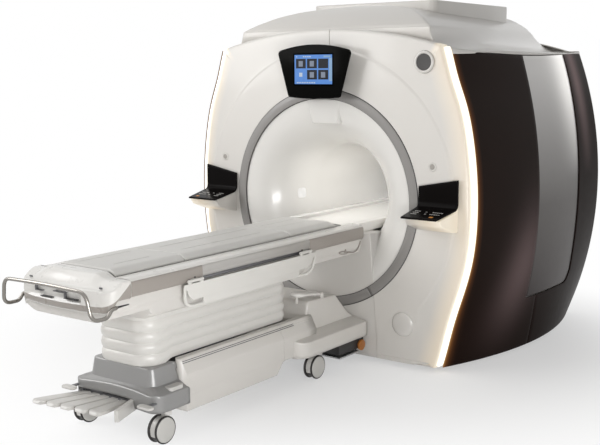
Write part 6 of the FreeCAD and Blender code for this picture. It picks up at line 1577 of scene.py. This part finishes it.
def casting_surface():
    """Rows: up the wall, round its edge and in over the top to its middle.
    Inside the port's outline the wall stands back to one plane; cells at its rim are narrow."""
    plan, normal = casting_plan, plan_normal(casting_plan)
    base = 0.7655 + 0.061 * smooth((plan[:, 1] - (FRONT - 2.258)) / 0.07)
    base = np.where(np.abs(plan[:, 1] - NEAR) < 1e-6, 0.8265, base)
    edge = 0.013
    shrunk = plan - normal * edge
    top = casting_top(shrunk[:, 0], shrunk[:, 1])
    levels = [0, 0.1, 0.2, 0.28, 0.318, 0.33, 0.336, 0.345, 0.42, 0.52, 0.62, 0.72, 0.8, 0.873, 0.885,
              0.892, 0.905, 0.96, 1]
    rows = []
    for level in levels:
        z = base + (top - edge - base) * level
        rounding = 0.01 * np.clip(1 - (z - base) / 0.012, 0, 1) ** 2
        rows.append(np.column_stack([plan - normal * rounding[:, None], z]))
    for t in np.linspace(0, math.pi / 2, 6)[1:]:
        rows.append(np.column_stack([plan - normal * edge * (1 - math.cos(t)),
                                     top - edge + edge * math.sin(t)]))
    centre = np.array((0, FRONT - 2.165))
    for share in np.linspace(1, 0.02, 20)[1:]:
        at = centre + (shrunk - centre) * share
        rows.append(np.column_stack([at, casting_top(at[:, 0], at[:, 1])]))
    grid = np.stack(rows)
    x, z = grid[..., 0], grid[..., 2]
    in_port = (x > -0.2965) & (x < 0.1605) & (grid[..., 1] < FRONT - 2.23) & (z > 0.803) & (z < 0.8735)
    in_port[len(levels):] = False
    grid[..., 1] = np.where(in_port, FRONT - 2.258, grid[..., 1])
    return grid


grid = casting_surface()
casting = piece("foot_end_casting_skin", grid, casting_two, "table_top")
x, y, z = (grid[..., k].ravel() for k in range(3))
BAND_LOW, BAND_TOP = 0.77, 0.802
upper = BAND_TOP + 0.1058 * np.clip((y - (FRONT - 2.268)) / 0.157, 0, 1) ** 1.25
low = BAND_LOW + 0.057 * smooth((y - (FRONT - 2.264)) / 0.08)
band = np.minimum(upper - z, z - low)
band = np.where((y > NEAR - 0.0001) | (np.arange(len(y)) >= 20 * len(casting_plan)), -0.01, band)
marked(casting, "band", band)
PORT_Y = FRONT - 2.2585
for number, (x0, x1, low, high, proud, material) in enumerate((
    (-0.19, -0.182, 0.838, 0.872, 0.016, frame_grey), (-0.19, -0.136, 0.833, 0.838, 0.016, frame_grey),
    (-0.148, -0.06, 0.808, 0.813, 0.018, slot_black), (-0.05, 0.04, 0.844, 0.8485, 0.018, frame_grey),
    (0.03, 0.036, 0.82, 0.845, 0.016, frame_grey), (0.03, 0.125, 0.8165, 0.8215, 0.018, slot_black),
)):
    outline = oblong(x0, x1, low, high, 0.002, 4)
    block(f"port_step_{number}", outline, PORT_Y - proud, PORT_Y + 0.004, "y", material, "table_top",
          slot="bore_white", edge=0.0008)
for sign, side in SIDES[::-1]:
    notch = oblong(sign * 0.262 - 0.011, sign * 0.262 + 0.011, FRONT - 2.24, FRONT - 2.2365, 0.001, 4)
    block(f"casting_notch_{side}", notch, 0.8875, 0.896, "z", frame_grey, "table_top", edge=0)

# ------------------------------------------------------------------ push handle
# One bent stainless tube: its legs slide into the belly shell's slots and its bar stands
# before the casting for two hands.

brushed_steel = finish("brushed_steel", "chrome", (0.27, 0.255, 0.235), 0.24, metallic=1, drift=0.06,
                       grain=(1200, 0.05))
half = [(0.296, FRONT - 2.2, 0.795), (0.332, FRONT - 2.2, 0.795), (0.332, FRONT - 2.238, 0.795),
        (0.332, FRONT - 2.264, 0.758), (0.33, FRONT - 2.364, 0.758), (0.304, FRONT - 2.374, 0.899),
        (0, FRONT - 2.39, 0.912)]
line = np.asarray(half + [(-x, y, z) for x, y, z in half[-2::-1]])
path = bent(line, [0.022, 0.022, 0.022, 0.048, 0.05, 0.24, 0.05, 0.048, 0.022, 0.022, 0.022], 9)
tube("push_handle_tube", path, 0.0098, 0.0098, (0.31, 0.22, 0.92), brushed_steel, "push_handle", around=24,
     nodes=["push_handle"])

# ------------------------------------------------------------------ cradle and cushions
# The cradle is a thin glass-fibre tray that slides between the rails. Three foam cushions in
# a smooth coated fabric lie on it, each with two fine channels welded along its top.

cradle_dark = finish("cradle_dark", "cradle_plastic", (0.03, 0.027, 0.025), 0.4, coat=0.1, drift=0.1)
tray = oblong(-0.2178, 0.2178, FRONT - 2.1055, FRONT - 0.071, [0.004, 0.004, 0.05, 0.05])
block("cradle_tray", tray, 0.899, 0.9184, "z", cradle_dark, "cradle_body", edge=0.002, turn=50,
      nodes=["cradle"])

# The coated fabric turns darker in the welded channels and seams.
cushion_vinyl = finish("cushion_vinyl", "cushion", (0.56, 0.55, 0.525), 0.46, coat=0.06, drift=0.05,
                       grain=(1500, 0.1), smudge=0.12)
banded(cushion_vinyl, "seam", (0.27, 0.258, 0.24))


def cushion(name, foot, head, head_slope, channels, nodes=()):
    """A crowned pad: rows run across it from one bottom edge over the top to the other, columns
    along it. Height over the base: a bevelled side, a rounded shoulder and a crown that swells
    by 1.2 mm; both ends curve down, the head end of the last pad in a long slope. A channel
    sinks the top by 2.8 mm along a line."""
    length = head - foot
    along = np.unique(np.concatenate([
        [0, 0.0008, 0.002, 0.004, 0.007, 0.011, 0.016], np.linspace(0.022, length - 0.022, 60),
        length - np.array([0.016, 0.011, 0.007, 0.004, 0.002, 0.0008, 0]),
        *[np.array([a - 0.003, a - 0.0015, a, a + 0.0015, a + 0.003]) for c in channels for a in c[1:3]]]))
    side = [(-0.2165, 0.0004), (-0.2172, 0.003), (-0.2176, 0.007), (-0.217, 0.0105), (-0.215, 0.014),
            (-0.208, 0.0195), (-0.196, 0.027), (-0.185, 0.0325), (-0.1765, 0.0347), (-0.165, 0.0355)]
    fine = np.concatenate([c[0] + np.array([-0.004, -0.0022, -0.0008, 0, 0.0008, 0.0022, 0.004])
                           for c in channels])
    top_x = np.unique(np.round(np.concatenate([np.linspace(-0.155, 0.155, 28), fine]), 5))
    top = [(x, 0.0355 + 0.0012 * (1 - (x / 0.165) ** 2)) for x in top_x]
    section = np.asarray(side + top + [(-x, z) for x, z in side[::-1]])
    x, h = section[:, 0][:, None], section[:, 1][:, None]
    s = along[None, :]
    near_foot = np.clip(s / 0.012, 0, 1)
    near_head = np.clip((length - s) / (0.055 if head_slope else 0.012), 0, 1)
    foot_round = np.sqrt(1 - (1 - near_foot) ** 2)
    head_round = np.sqrt(1 - (1 - near_head) ** 2) if not head_slope else near_head**0.75
    least = 0.1 if head_slope else 0.55
    z = h * (0.62 + 0.38 * foot_round) * (least + (1 - least) * head_round)
    seam = np.zeros_like(z)
    for channel_x, start, end in channels:
        inside = smooth((s - start) / 0.004) * smooth((end - s) / 0.004)
        groove = np.exp(-((x - channel_x) / 0.0018) ** 2) * inside
        z = z - 0.0028 * groove
        seam = np.maximum(seam, groove)
    seam = np.maximum(seam, np.clip(1 - np.minimum(s, length - s) / 0.0025, 0, 1) * 0.7 + 0 * x)
    points = grid_of(x * (1 - 0.006 * (1 - near_foot) - 0.004 * (1 - near_head)), foot + s, 0.9187 + z)
    rows, columns = points.shape[:2]
    faces = quads(rows, columns)[:, ::-1].tolist()
    bottom = np.arange(columns)
    far = (rows - 1) * columns + bottom
    under = np.stack([bottom[:-1], bottom[1:], far[1:], far[:-1]], axis=1).tolist()
    ends = [(np.arange(rows) * columns).tolist(), (np.arange(rows) * columns + columns - 1)[::-1].tolist()]
    made = solid(name, points.reshape(-1, 3), faces + under + ends, cushion_vinyl, "cradle_body",
                 nodes=nodes)
    marked(made, "seam", seam)


CUSHIONS = [
    # name, foot end, head end, sloped head, channels as (x, start, end)
    ("foot", 2.1045, 1.5982, 0, [(0.1, 0.1, 0.36), (-0.1, 0.04, 0.42)]),
    ("middle", 1.596, 0.6612, 0, [(0.095, 0.1, 0.8), (-0.06, 0.09, 0.86)]),
    ("head", 0.659, 0.1458, 1, [(0.05, 0.08, 0.38), (-0.06, 0.06, 0.4)]),
]
for word, foot, head, sloped, channels in CUSHIONS:
    cushion(f"cushion_{word}_skin", FRONT - foot, FRONT - head, sloped, channels,
            ["cradle_pads"] if word == "foot" else ())
